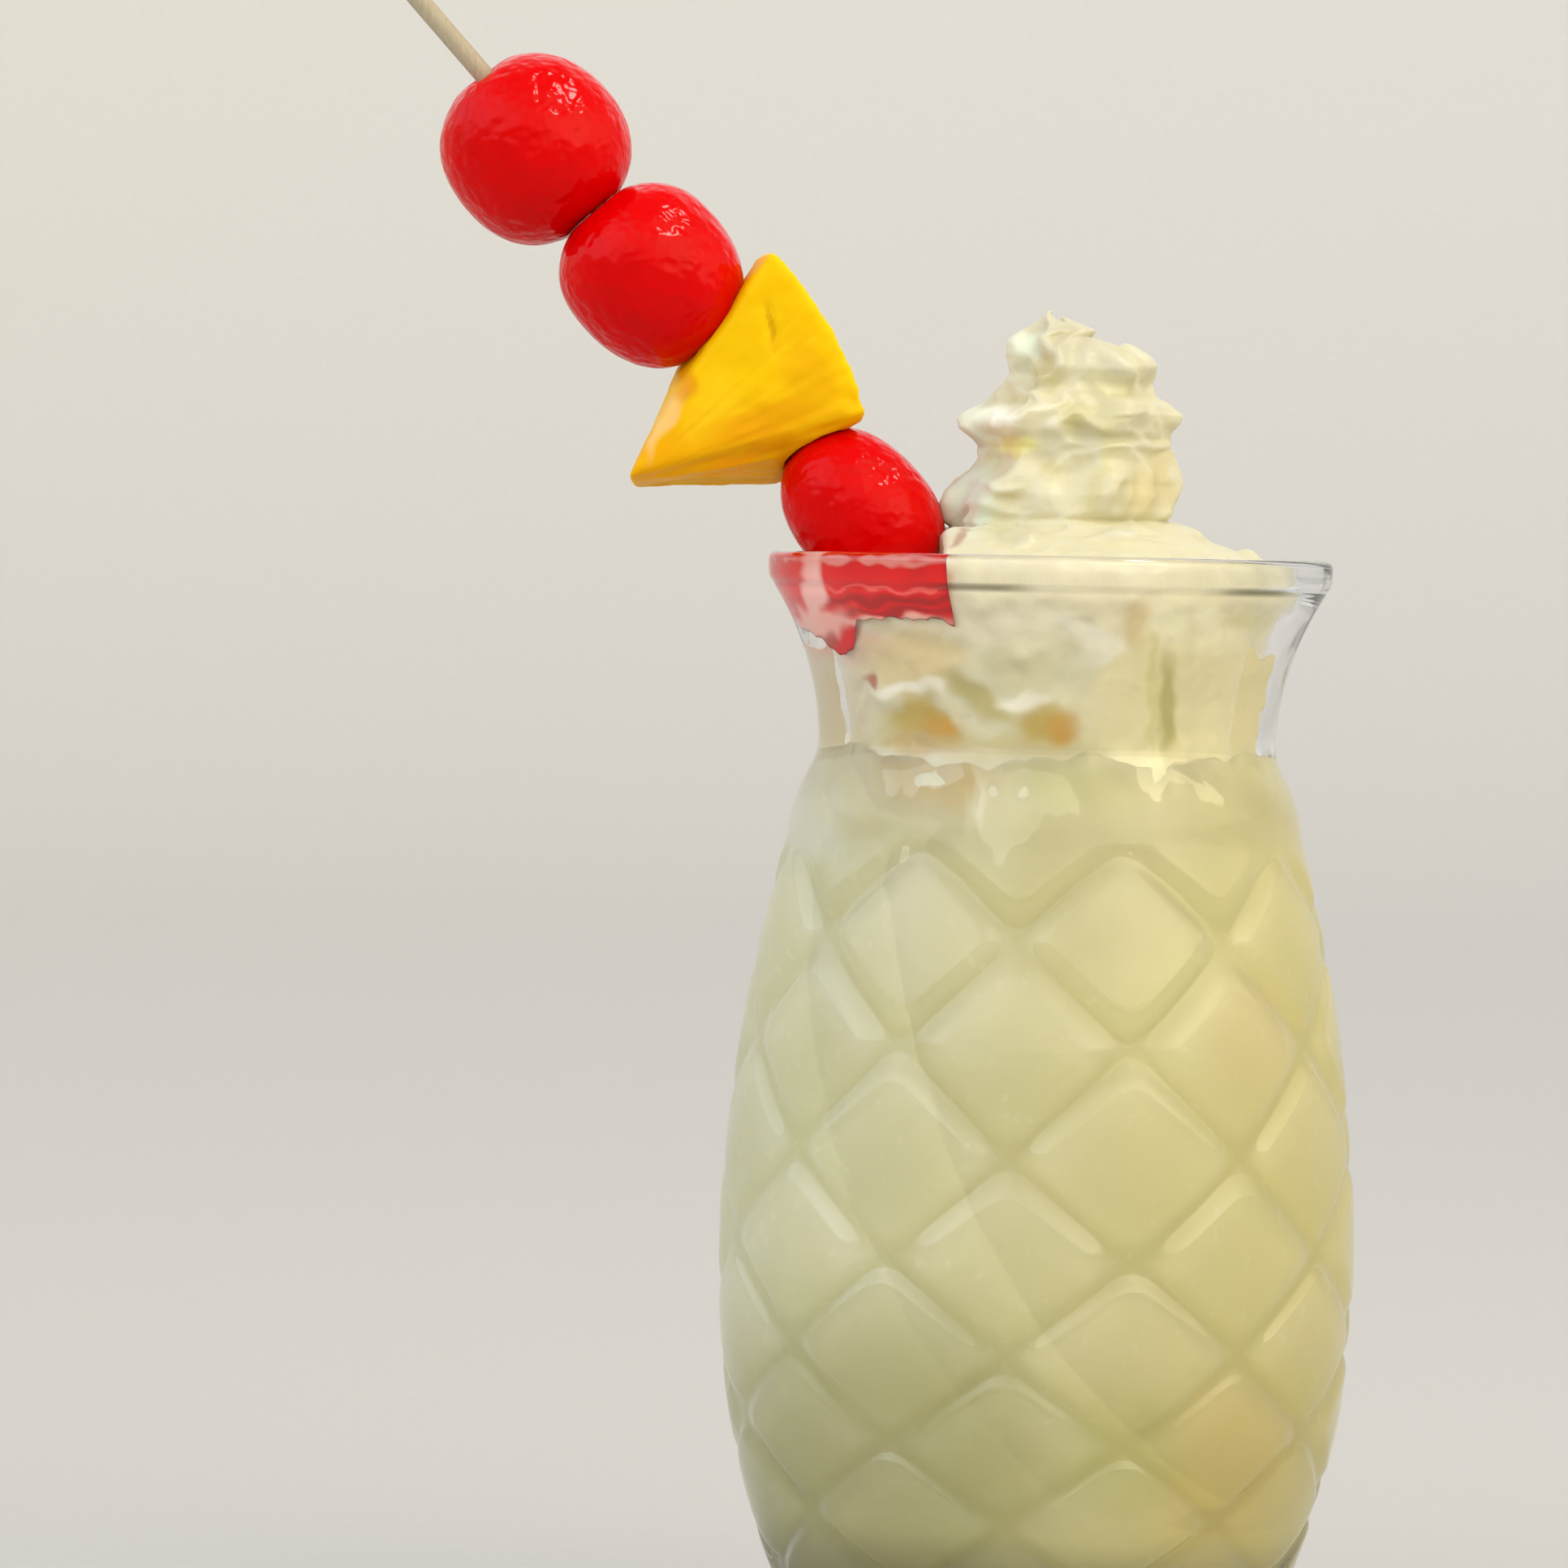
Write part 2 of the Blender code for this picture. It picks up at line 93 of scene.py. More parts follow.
# Diamond pads: how many go round, the depths at which their corners meet, and their relief
PADS_ROUND = 8
PAD_ROWS = [34.9, 46.9, 60, 73.2, 85.7, 97.4, 108.4, 118.6, 127.9, 136.2]
LAST_ROW = len(PAD_ROWS) - 1
PAD_FINENESS = 28
PAD_RELIEF = 0.8
PAD_CROWN = 0.15
WIDE_PAD = 0.77
NARROW_PAD = 0.65
PAD_CORNER_POWER = 6.0
FADE_ROWS = 0.4
FIRST_PAD_ANGLE = math.radians(17.3)
COLUMNS_ROUND = PADS_ROUND * PAD_FINENESS

# What the glass lays over what shows through it: clear; a painted shade line under the lip; a tint on the
# pads, with painted highlights on their upper edges and painted shade on their lower parts, in the grooves
# between them and towards the bottom
CLEAR = Vector((0.99, 0.99, 0.985))
PAINTED_LIP_SHADE = Vector((0.10, 0.10, 0.07))
PAD_CAST = Vector((0.95, 0.945, 0.87))
PAINTED_LOWER_SHADE = Vector((0.87, 0.865, 0.73))
PAINTED_GROOVE_SHADE = Vector((0.82, 0.81, 0.62))
PAINTED_DEEP_SHADE = Vector((0.80, 0.80, 0.72))
# the painted shade line under the lip: its depth and half-height, how dark it runs round the glass, and its
# darker stretches by turn and half-width in degrees
LINE_DEPTH = 4.0
LINE_HALF = 0.7
FAINT_LINE = 0.3
FAINT_CHANGE = 0.15
FAINT_RING = 3.0
BOLD_LINE = 0.65
BOLD_LINES = [(-15.0, 10.0), (47.0, 11.0), (140.0, 14.0), (235.0, 12.0)]
SHINE_WIDTH = 0.42
PAINTED_SHINE = 0.9
SHADE_START = 0.45
SHADE_WIDTH = 1.3
GROOVE_POWER = 1.4
UPPER_GROOVE_SHADE = 0.45
UPPER_ROWS = (0.5, 2.0)
DEEP_START = 85.0
DEEP_REACH = 50.0

# Drink and cream: waves by rise, size and seed, and the cream's curves by depth or height and radius
WALL_BITE = 0.1
DRINK_DEPTH = 25.8
CLIMB_HEIGHT = 1.8
CLIMB_PLACE = 26.0
CLIMB_SPREAD = 15.0
DRINK_TOP = (100.0, 116.0)
DRINK_TOP_WAVES = [(2.0, 9.0, 0.0), (1.8, 4.5, 3.0), (0.8, 2.0, 1.0)]
CALM_SIDE = 45.0
PLUG_DEPTH = 31.0
PLUG_GAP = 0.4
SHELF_CURVE = [
    (2.6, 31),
    (1.2, 30.2),
    (0.4, 28.2),
    (-0.2, 25.6),
    (-0.8, 23),
    (-2.4, 19.4),
    (-3, 16),
    (-3, 0),
]

# Swirl: height above the rim, radius, place across and depth of the ridges
CREAM_TIERS = [
    (-3, 15.4, 1, 0),
    (2.7, 17.2, 1, 1.2),
    (4, 15, 1.3, 1.3),
    (6, 14.7, 1.5, 1.6),
    (8, 15.6, 1.5, 2.3),
    (10, 15.7, 1.6, 2.6),
    (11.8, 14.9, 1.8, 2),
    (13.6, 13.4, 2, 1.2),
    (15.2, 13.2, 2.1, 1.3),
    (16.8, 14.6, 2.2, 2.3),
    (18.2, 14.8, 2.3, 2.7),
    (19.8, 12.9, 2.6, 1.9),
    (21.4, 10.7, 3, 1.2),
    (22.8, 10, 3.4, 1.2),
    (24.4, 10.4, 3.4, 1.8),
    (26, 9.9, 3.1, 2),
    (27.6, 7.8, 2.3, 1.6),
    (29, 4.9, 1.1, 0.9),
    (30.2, 2.3, 0.1, 0.3),
    (31.1, 0, -0.4, 0),
]
RIDGES = 6
RIDGE_SHARPNESS = 0.25
RIDGE_TWIST = math.radians(1.0)
MIDDLE_TIER = 17.3
CREAM_LEAN = 0.1
LOW_TIER = 8.0
LEAN_CHANGE = 17.0

# Skewer and what is on it; each cherry by its place along, across and behind the skewer, its radius,
# its height above and below its middle, and the flats that its neighbours press above and below
SKEWER_RADIUS = 1.25
SKEWER_TOP = 100.4
SKEWER_END = -49.6
SKEWER_POINT = 7.0
SKEWER_ROWS = 150
SKEWER_EASING = [(0.32, 0.0), (0.26, 0.05), (0.14, 0.2), (0.1, SKEWER_RADIUS)]
SKEWER_LEAN = math.radians(42.0)
LOW_CHERRY_PLACE = Vector((-23.6, -2.0, GLASS_HEIGHT + 4.6))
CHERRIES = {
    "cherry_lower": (0.0, 0.0, 0.0, 8.8, 12.0, 11.0, 2.5, 0.0),
    "cherry_middle": (42.0, -0.5, 0.0, 10.9, 9.8, 13.3, 4.6, 0.0),
    "cherry_top": (62.3, -1.2, 2.0, 11.7, 12.0, 11.5, 0.0, 4.6),
}
CHERRY_POWER = 2.25
PUCKER = 1.1
PUCKER_REACH = 2.6
CHERRY_CREASES = 7.0
CHERRY_CREASE = 0.12
CHERRY_CREASE_REACH = 5.0
FLAT_SPOT = (0.24, -0.77, 0.59)
FLAT_EDGE = 0.93
FLATTENING = 0.03
CHERRY_DENTS = [(0.012, 7.0, 0.0), (0.004, 2.4, 5.0)]
WEDGE_TIP = (22.3, -20.2)
NOTCH = (-24.9, 161.7)
NOTCH_SIZE = 1.1
NOTCH_DEPTH = 0.7
CREASE = [(-36.2, 173.5), (-35.1, 168.6)]
CREASE_DEPTH = 0.3
CREASE_HALF = 0.7
CREASE_END = 1.2
FIBRES_ROUND = 26.0
FIBRE_RELIEF = 0.13
FLESH_WAVES = [(0.22, 4.5, 2.0), (0.07, 1.6, 0.0)]

# Studio, in metres and watts: brightness of the room at eye level and overhead, and its soft panels by
# direction, half-angle in degrees, strength and colour
HORIZON_LIGHT = 0.42
ZENITH_LIGHT = 0.32
ROOM_PANELS = [
    ((0.0, -1.0, 0.12), 85.0, 0.93, "FFFBF2"),
    ((-0.93, -0.10, 0.30), 48.0, 1.4, "E6EDFF"),
    ((0.92, -0.30, 0.20), 50.0, 1.55, "FFEFC8"),
    ((-0.60, -0.62, 0.50), 36.0, 1.0, "F2F6FF"),
    ((0.62, -0.60, 0.50), 36.0, 1.1, "FFF0CC"),
    ((0.0, 1.0, 0.35), 60.0, 0.65, "FFFFFF"),
]
FLAT_FLOOR = 1.8
COVE = 1.3
PAPER_FADE = (0.42, 1.1)
LAMP_PLACE = (0.34, -0.14, 0.94)
LAMP_AIM = (0.0, 0.0, 0.12)
LAMP_SIZE = (0.10, 0.12)
LAMP_POWER = 2.1
CAMERA_PLACE = (0.0, -0.9, 0.143)
CAMERA_AIM = (-0.0332, 0.0, 0.1134)
CAMERA_ROLL = math.radians(1.15)
CAMERA_LENS = 163.0


# Modelling helpers


def pick(*pieces):
    """Leaves only these pieces selected, the first one active."""
    bpy.ops.object.select_all(action="DESELECT")
    for piece in pieces:
        piece.select_set(True)
    bpy.context.view_layer.objects.active = pieces[0]


def named(name):
    """Names the piece that was just added."""
    piece = bpy.context.object
    piece.name = name
    piece.data.name = name
    return piece


def start():
    """Clears the selection before a new primitive."""
    bpy.ops.object.select_all(action="DESELECT")


def finish_modifiers(piece):
    """Applies each of a piece's modifiers in turn."""
    pick(piece)
    for modifier in list(piece.modifiers):
        bpy.ops.object.modifier_apply(modifier=modifier.name)


def close_up(piece, reach=0.004):
    """Merges seams and poles, turns the faces outwards and shades them smooth."""
    pick(piece)
    bpy.ops.object.mode_set(mode="EDIT")
    bpy.ops.mesh.select_all(action="SELECT")
    bpy.ops.mesh.remove_doubles(threshold=reach * MM)
    bpy.ops.mesh.normals_make_consistent(inside=False)
    bpy.ops.object.mode_set(mode="OBJECT")
    bpy.ops.object.shade_smooth()


def fuse_skin(piece, fineness, rounds):
    """Fuses a piece to one even skin of a fineness in mm, and relaxes its edges."""
    fuse = piece.modifiers.new("fuse", "REMESH")
    fuse.mode = "VOXEL"
    fuse.voxel_size = fineness * MM
    relax = piece.modifiers.new("relax", "SMOOTH")
    relax.factor = 0.5
    relax.iterations = rounds
    finish_modifiers(piece)


def bent_grid(name, columns, rows, place):
    """A flat grid bent into shape: place gives each point in mm from its shares across and along."""
    start()
    bpy.ops.mesh.primitive_grid_add(x_subdivisions=columns, y_subdivisions=rows, size=1.0)
    piece = named(name)
    for vertex in piece.data.vertices:
        vertex.co = Vector(place(vertex.co.x + 0.5, vertex.co.y + 0.5)) * MM
    return piece


def round_glass(angle, radius, depth):
    """A place round the glass's axis, by turn from the front, radius and depth below the rim."""
    return radius * math.sin(angle), -radius * math.cos(angle), GLASS_HEIGHT - depth


def turned(name, outline, columns, join_reach=0.004):
    """A round piece turned from its outline of (depth below the rim, radius)."""
    rows = len(outline) - 1

    def place(across, along):
        depth, radius = outline[round(along * rows)]
        return round_glass(FIRST_PAD_ANGLE + across * math.tau, radius, depth)

    piece = bent_grid(name, columns, rows, place)
    close_up(piece, join_reach)
    return piece


def swell(piece, amount):
    """Moves each point along its normal by an amount in mm that depends on its place in mm."""
    normals = [vertex.normal.copy() for vertex in piece.data.vertices]
    for vertex, normal in zip(piece.data.vertices, normals):
        vertex.co += normal * amount(vertex.co / MM) * MM


def grain(place, size, seed=0.0):
    """Soft noise from -1 to 1 with features of about one size in mm."""
    return noise.noise(place / size + Vector((seed, seed * 1.7, seed * 0.3)))


def eased(share):
    """0 to 1 with soft ends."""
    share = min(max(share, 0.0), 1.0)
    return share * share * (3.0 - 2.0 * share)


def between(rows, at, way=float):
    """The values of a table at a place between two of its rows, by the rows' first column."""
    for low, high in zip(rows, rows[1:]):
        if at <= high[0]:
            share = way(min(max((at - low[0]) / (high[0] - low[0]), 0.0), 1.0))
            return [a + (b - a) * share for a, b in zip(low[1:], high[1:])]
    return rows[-1][1:]


# Glass


def outer_radius(depth):
    """Outer radius of the glass below its lip, with flare, collar and pad-covered body."""
    if depth < NECK_DEPTH:
        share = (NECK_DEPTH - depth) / (NECK_DEPTH - LIP_DEPTH)
        return NECK_RADIUS + (FLARE_RADIUS - NECK_RADIUS) * share**FLARE_POWER
    if depth < COLLAR_DEPTH:
        share = (depth - NECK_DEPTH) / (COLLAR_DEPTH - NECK_DEPTH)
        return NECK_RADIUS + (COLLAR_RADIUS - NECK_RADIUS) * math.sin(share * math.pi / 2)
    if depth < BELLY_DEPTH:
        share = (BELLY_DEPTH - depth) / (BELLY_DEPTH - COLLAR_DEPTH)
        return BELLY_RADIUS - (BELLY_RADIUS - COLLAR_RADIUS) * share**SHOULDER_POWER
    return BELLY_RADIUS - LOWER_DROP * ((depth - BELLY_DEPTH) / LOWER_REACH) ** LOWER_POWER


def soft_radius(depth):
    """Outer radius with the creases at the neck and the collar eased, as the mould leaves them."""
    return sum(outer_radius(depth + shift) for shift in CREASE_SHIFTS) / len(CREASE_SHIFTS)


def stepped(first, last, step):
    """Depths from first to last in even steps of about one length."""
    count = max(1, round(abs(last - first) / step))
    return [first + (last - first) * i / count for i in range(count + 1)]


def lip_outline():
    """The flat-topped lip, from the flare over both rounded edges to the inner wall."""
    outline = list(LIP_CURVE)
    for quarter, middle in ((0, LIP_RADIUS - LIP_ROUND), (1, LIP_RADIUS - WALL + LIP_ROUND)):
        for step in range(7):
            angle = math.radians(15.0 * step) + quarter * math.pi / 2
            outline.append((LIP_ROUND * (1.0 - math.sin(angle)), middle + LIP_ROUND * math.cos(angle)))
    return outline + [(depth, LIP_RADIUS - WALL - inwards) for depth, inwards in INSIDE_LIP]


def cavity_outline(bite=0.0, top=LIP_DEPTH):
    """The inside of the glass down to the middle of its floor, moved outwards by the bite."""
    bowl_top = CAVITY_DEPTH - BOWL_HEIGHT
    outline = [(depth, soft_radius(depth) - WALL + bite) for depth in stepped(top, bowl_top, 2.0)]
    bowl_radius = outline[-1][1]
    for degrees in stepped(6.0, 90.0, 6.0):
        angle = math.radians(degrees)
        outline.append((bowl_top + (BOWL_HEIGHT + bite) * math.sin(angle), bowl_radius * math.cos(angle)))
    return outline[:-1] + [(outline[-1][0], 0.0)]


def pad_depth(row):
    """Depth at a place counted in rows of pads."""
    low = min(int(row), LAST_ROW - 1)
    return PAD_ROWS[low] + (PAD_ROWS[low + 1] - PAD_ROWS[low]) * (row - low)


def pad_relief(x, y):
    """Relief of the lattice: crowned diamonds with soft shoulders, and a groove between them."""
    s, t = y / 2 + x - 0.5, y / 2 - x + 0.5
    i, j = round(s), round(t)
    p, q = 2.0 * abs(s - i), 2.0 * abs(t - j)
    size = WIDE_PAD if (i + j) % 2 else NARROW_PAD
    reach = (p**PAD_CORNER_POWER + q**PAD_CORNER_POWER) ** (1.0 / PAD_CORNER_POWER)
    drop = eased((reach - size) / (1.0 - size))
    crown = PAD_CROWN * (1.0 - (p * p + q * q) / 2.0)
    return (crown - (PAD_RELIEF + crown) * drop) * eased(min(y, LAST_ROW - y) / FADE_ROWS)


def make_pads():
    """A square net turned on its corner, trimmed to the lattice and wrapped round the glass."""
    span = PADS_ROUND + LAST_ROW / 2.0
    cells = round(span * PAD_FINENESS)
    start()
    bpy.ops.mesh.primitive_grid_add(x_subdivisions=cells, y_subdivisions=cells, size=span)
    pads = named("glass_pads")
    for vertex in pads.data.vertices:
        s = vertex.co.x + span / 2.0 - 0.5
        t = vertex.co.y + span / 2.0 - PADS_ROUND + 0.5
        vertex.co = ((s - t + 1.0) / 2.0, s + t, 0.0)
    bpy.ops.object.mode_set(mode="EDIT")
    for place, side in (
        ((0, 0, 0), (-1, 0, 0)),
        ((PADS_ROUND, 0, 0), (1, 0, 0)),
        ((0, 0, 0), (0, -1, 0)),
        ((0, LAST_ROW, 0), (0, 1, 0)),
    ):
        bpy.ops.mesh.select_all(action="SELECT")
        bpy.ops.mesh.bisect(plane_co=place, plane_no=side, clear_outer=True, threshold=0.002)
    bpy.ops.object.mode_set(mode="OBJECT")
    for vertex in pads.data.vertices:
        x, y, _ = vertex.co
        depth = pad_depth(y)
        radius = soft_radius(depth) + pad_relief(x, y)
        angle = FIRST_PAD_ANGLE + x * math.tau / PADS_ROUND
        vertex.co = Vector(round_glass(angle, radius, depth)) * MM
    return pads


def add_tint_and_painted_light(piece, tint_and_painted_light):
    """Writes the tint, painted highlight and painted shade that the glass lays over what is seen through
    it, by turn and depth.
    """
    marks = piece.data.attributes.new("tint_and_painted_light", "FLOAT_COLOR", "POINT")
    for mark, vertex in zip(marks.data, piece.data.vertices):
        turn = (math.atan2(vertex.co.x, -vertex.co.y) - FIRST_PAD_ANGLE) % math.tau
        outer = math.hypot(vertex.co.x, vertex.co.y) / MM
        mark.color = (*tint_and_painted_light(turn, GLASS_HEIGHT - vertex.co.z / MM, outer), 1.0)


def lip_tint_and_painted_shade(turn, depth, outer):
    """Clear, but for the painted shade line under the lip and the collar's fade into the pads' tint."""
    if NECK_DEPTH < depth <= COLLAR_DEPTH + 0.1 and outer > soft_radius(depth) - WALL / 2.0:
        return CLEAR.lerp(PAD_CAST, eased((depth - NECK_DEPTH) / (COLLAR_DEPTH - NECK_DEPTH)))
    if outer < LIP_RADIUS - 1.5 or abs(depth - LINE_DEPTH) > LINE_HALF:
        return CLEAR
    ring = FAINT_RING * Vector((math.cos(turn), math.sin(turn), 0.0))
    bold = FAINT_LINE + FAINT_CHANGE * grain(ring, 1.0, 2.0)
    for place, half in BOLD_LINES:
        away = (turn + FIRST_PAD_ANGLE - math.radians(place) + math.pi) % math.tau - math.pi
        bold += BOLD_LINE * eased(1.5 - abs(math.degrees(away)) / half)
    return CLEAR.lerp(PAINTED_LIP_SHADE, min(bold, 1.0) * eased(1.5 - 1.5 * abs(depth - LINE_DEPTH) / LINE_HALF))


def pad_tint_and_painted_light(turn, depth, outer):
    """Pads get a tint with a painted highlight along their upper edges, and painted shade towards the lower
    ones, in the grooves and towards the bottom.
    """
    row = next(i for i in range(LAST_ROW) if depth <= PAD_ROWS[i + 1] + 0.01)
    y = row + (depth - PAD_ROWS[row]) / (PAD_ROWS[row + 1] - PAD_ROWS[row])
    x = turn / math.tau * PADS_ROUND
    s, t = y / 2 + x - 0.5, y / 2 - x + 0.5
    p, q = 2.0 * (s - round(s)), 2.0 * (t - round(t))
    size = WIDE_PAD if (round(s) + round(t)) % 2 else NARROW_PAD
    # painted highlight along the pads' upper edges
    upper_shine = eased((max(-p, -q) - size + SHINE_WIDTH) / SHINE_WIDTH)
    # painted shade towards the pads' lower edges
    lower_shade = eased(((p + q) / 2.0 + SHADE_START) / SHADE_WIDTH)
    # painted shade in the grooves, fainter in the top rows by the collar
    groove_shade = eased((max(abs(p), abs(q)) - size) / (1.0 - size)) ** GROOVE_POWER
    below_collar = eased((y - UPPER_ROWS[0]) / (UPPER_ROWS[1] - UPPER_ROWS[0]))
    groove_shade *= UPPER_GROOVE_SHADE + (1.0 - UPPER_GROOVE_SHADE) * below_collar
    fade = eased(min(y, LAST_ROW - y) / FADE_ROWS)
    tint_and_painted_light = PAD_CAST.lerp(PAINTED_LOWER_SHADE, lower_shade)
    tint_and_painted_light = tint_and_painted_light.lerp(CLEAR, PAINTED_SHINE * upper_shine)
    tint_and_painted_light = PAD_CAST.lerp(tint_and_painted_light.lerp(PAINTED_GROOVE_SHADE, groove_shade), fade)
    # painted shade: darker towards the bottom
    return tint_and_painted_light.lerp(tint_and_painted_light * PAINTED_DEEP_SHADE, eased((depth - DEEP_START) / DEEP_REACH))


def make_glass():
    """The glass as one closed shell: pads, neck, lip, cavity and a slightly hollow underside."""
    neck = [(depth, soft_radius(depth)) for depth in stepped(COLLAR_DEPTH, 5.4, 1.0)]
    neck += [(depth, soft_radius(depth)) for depth in (4.9, 4.65, LIP_DEPTH)]
    inside = turned("glass_inside", neck + lip_outline() + cavity_outline(), COLUMNS_ROUND)
    heel = soft_radius(HEEL_DEPTH)
    base = [(depth, heel - inwards) for depth, inwards in HEEL_CURVE] + FOOT_CURVE
    base = turned("glass_base", base, COLUMNS_ROUND)
    add_tint_and_painted_light(base, lip_tint_and_painted_shade)
    pads = make_pads()
    add_tint_and_painted_light(inside, lip_tint_and_painted_shade)
    add_tint_and_painted_light(pads, pad_tint_and_painted_light)
    pick(pads, inside, base)
    bpy.ops.object.join()
    close_up(pads, 0.02)
    pads.name = pads.data.name = "pressed_glass"
    return pads


# Drink and cream


def make_drink():
    """The drink, from the cavity's floor to the cream, biting just into the wall so no air shows."""
    outline = cavity_outline(WALL_BITE, DRINK_DEPTH)
    rim_radius = outline[0][1]
    surface = [(DRINK_DEPTH, radius) for radius in (0.0, rim_radius - 6.0, rim_radius - 0.6)]
    drink = turned("creamy_drink", surface + outline, 240)
    for vertex in drink.data.vertices:
        place = vertex.co / MM
        near_top = eased((place.z - DRINK_TOP[0]) / (DRINK_TOP[1] - DRINK_TOP[0]))
        away = math.degrees(math.atan2(abs(place.y), abs(place.x)))
        climb = CLIMB_HEIGHT * math.exp(-(((away - CLIMB_PLACE) / CLIMB_SPREAD) ** 2))
        ragged = sum(rise * grain(place, size, seed) for rise, size, seed in DRINK_TOP_WAVES)
        vertex.co.z += near_top * (climb + ragged * eased(away / CALM_SIDE)) * MM
    return drink


def make_swirl():
    """The piped swirl in three ridged tiers, before it sags."""
    bottom, top = CREAM_TIERS[0][0], CREAM_TIERS[-1][0]

    def place(across, along):
        height = bottom + (top - bottom) * along
        radius, middle, hollow = between(CREAM_TIERS, height)
        if along in (0.0, 1.0):
            radius = 0.0
        angle = across * math.tau
        turn = RIDGES * (angle - RIDGE_TWIST * (height - MIDDLE_TIER))
        ridge = math.cos(turn) + RIDGE_SHARPNESS * (math.cos(2.0 * turn) - 1.0)
        reach = max(radius - hollow * (1.0 - ridge) / 2.0, 0.0)
        x, y = middle + reach * math.cos(angle), reach * math.sin(angle)
        lean = x * CREAM_LEAN * math.cos(math.pi * (height - LOW_TIER) / LEAN_CHANGE)
        return x, y, GLASS_HEIGHT + height + lean

    swirl = bent_grid("swirl", 120, 80, place)
    close_up(swirl)
    return swirl


# How far the swirl reaches to the left and right at each height above the rim
SWIRL_WIDTHS = [
    (3.4, -14.1, 16.8),
    (4.7, -14.2, 15.4),
    (6.3, -14.4, 15.4),
    (8, -13.7, 16.3),
    (9.6, -12.3, 16.6),
    (10.9, -10.5, 16.4),
    (12.1, -9.7, 15.7),
    (13.8, -9.6, 15.2),
    (15, -10.8, 14.8),
    (16, -12.1, 15.4),
    (17, -12.4, 16.1),
    (18.1, -11.3, 16.4),
    (19.1, -9.1, 15.4),
    (20.4, -8.1, 13),
    (22, -6.7, 12.4),
    (22.8, -5.8, 12.8),
    (24.1, -5.9, 13.1),
    (25.3, -6.3, 12.3),
    (26.9, -6.2, 9.9),
    (27.7, -5.5, 6.2),
    (28.6, -4.3, 5.2),
    (29.3, -2.9, 3.6),
    (30.7, -1.2, -0.2),
]
SLICE = 0.6
FOLD_RELIEF = 0.72
PLUG_RELIEF = 0.5
FIT_START = 2.8
FIT_EASING = 2.4
MOST_DEEPER = 0.15

# Where the cream touches the neck's wall: up to a height, and by its share of the way to each side
TOUCH_TOP = 134.0
TOUCH_SKIN = 1.6
TOUCH_BITE = WALL_BITE - 0.02
LEFT_TOUCH = 0.88
RIGHT_TOUCH = (0.78, 0.965)
CHERRY_ROOM = (-60.0, -60.0, 136.6), (-13.2, 1.6, 160.0)

# Lumps: place, sizes and tilt in degrees
CREAM_LUMPS = [
    ((-9.6, -1, 158.9), (3, 2.2, 1.5), 20),
    ((14.6, -1, 160.4), (2.4, 2, 1.5), -15),
    ((-4.2, -2, 168.8), (2.6, 3, 2.6), 0),
    ((10.6, -1.5, 167.4), (2.9, 3, 2.2), 25),
    ((3, 0, 171.4), (3, 2.6, 1.8), 10),
    ((14.4, 0, 153), (2.5, 3, 2.2), 0),
    ((-11.6, 0, 149.3), (3, 3.6, 3.4), 0),
    ((17.4, -1, 145.8), (2.4, 3, 1.6), -20),
    ((24.6, -2, 142.9), (2, 2.6, 1.4), -15),
    ((8, -17, 145.2), (3, 2.4, 1.4), 10),
    ((-3, -19, 144.6), (3.4, 2.4, 1.5), -10),
]


def make_lump(place, sizes, tilt):
    """One soft lump of cream, tilted in the plane across the glass."""
    start()
    bpy.ops.mesh.primitive_ico_sphere_add(subdivisions=3, radius=MM)
    lump = named("lump")
    turn = Matrix.Rotation(math.radians(-tilt), 4, "Y")
    move = Matrix.Translation(Vector(place) * MM)
    lump.data.transform(move @ turn @ Matrix.Diagonal((*sizes, 1.0)))
    return lump


def make_hollow():
    """The room round the lowest cherry, open to the front and left of the cream."""
    start()
    bpy.ops.mesh.primitive_cube_add(size=2.0)
    hollow = named("hollow")
    for vertex in hollow.data.vertices:
        share = (vertex.co + Vector((1.0, 1.0, 1.0))) / 2.0
        vertex.co = [(a + (b - a) * s) * MM for a, b, s in zip(*CHERRY_ROOM, share)]
    rounding = hollow.modifiers.new("rounding", "BEVEL")
    rounding.width = 2.5 * MM
    rounding.segments = 4
    finish_modifiers(hollow)
    return hollow


def fit_swirl(cream):
    """Draws the swirl in or out, slice by slice, to its tips, lobes and waists."""
    reach = {}
    for vertex in cream.data.vertices:
        x, _, z = vertex.co / MM
        height = z - GLASS_HEIGHT
        if height > 1.0:
            here = reach.setdefault(int(height / SLICE), [x, x])
            here[0], here[1] = min(here[0], x), max(here[1], x)
    slices = sorted(reach)

    def found(height, side):
        place = min(max(height / SLICE - 0.5, slices[0]), slices[-1])
        low = int(place)
        high = min(low + 1, slices[-1])
        return reach[low][side] + (reach[high][side] - reach[low][side]) * (place - low)

    for vertex in cream.data.vertices:
        x, _, z = vertex.co / MM
        height = z - GLASS_HEIGHT
        hold = eased((height - FIT_START) / FIT_EASING)
        if hold == 0.0:
            continue
        left, right = found(height, 0), found(height, 1)
        new_left, new_right = between(SWIRL_WIDTHS, height)
        scale = (new_right - new_left) / max(right - left, 1.0)
        target = new_left + (x - left) * scale
        vertex.co.x += (target - x) * hold * MM
        deeper = min(max(scale - 1.0, -MOST_DEEPER), MOST_DEEPER)
        vertex.co.y *= 1.0 + deeper * hold


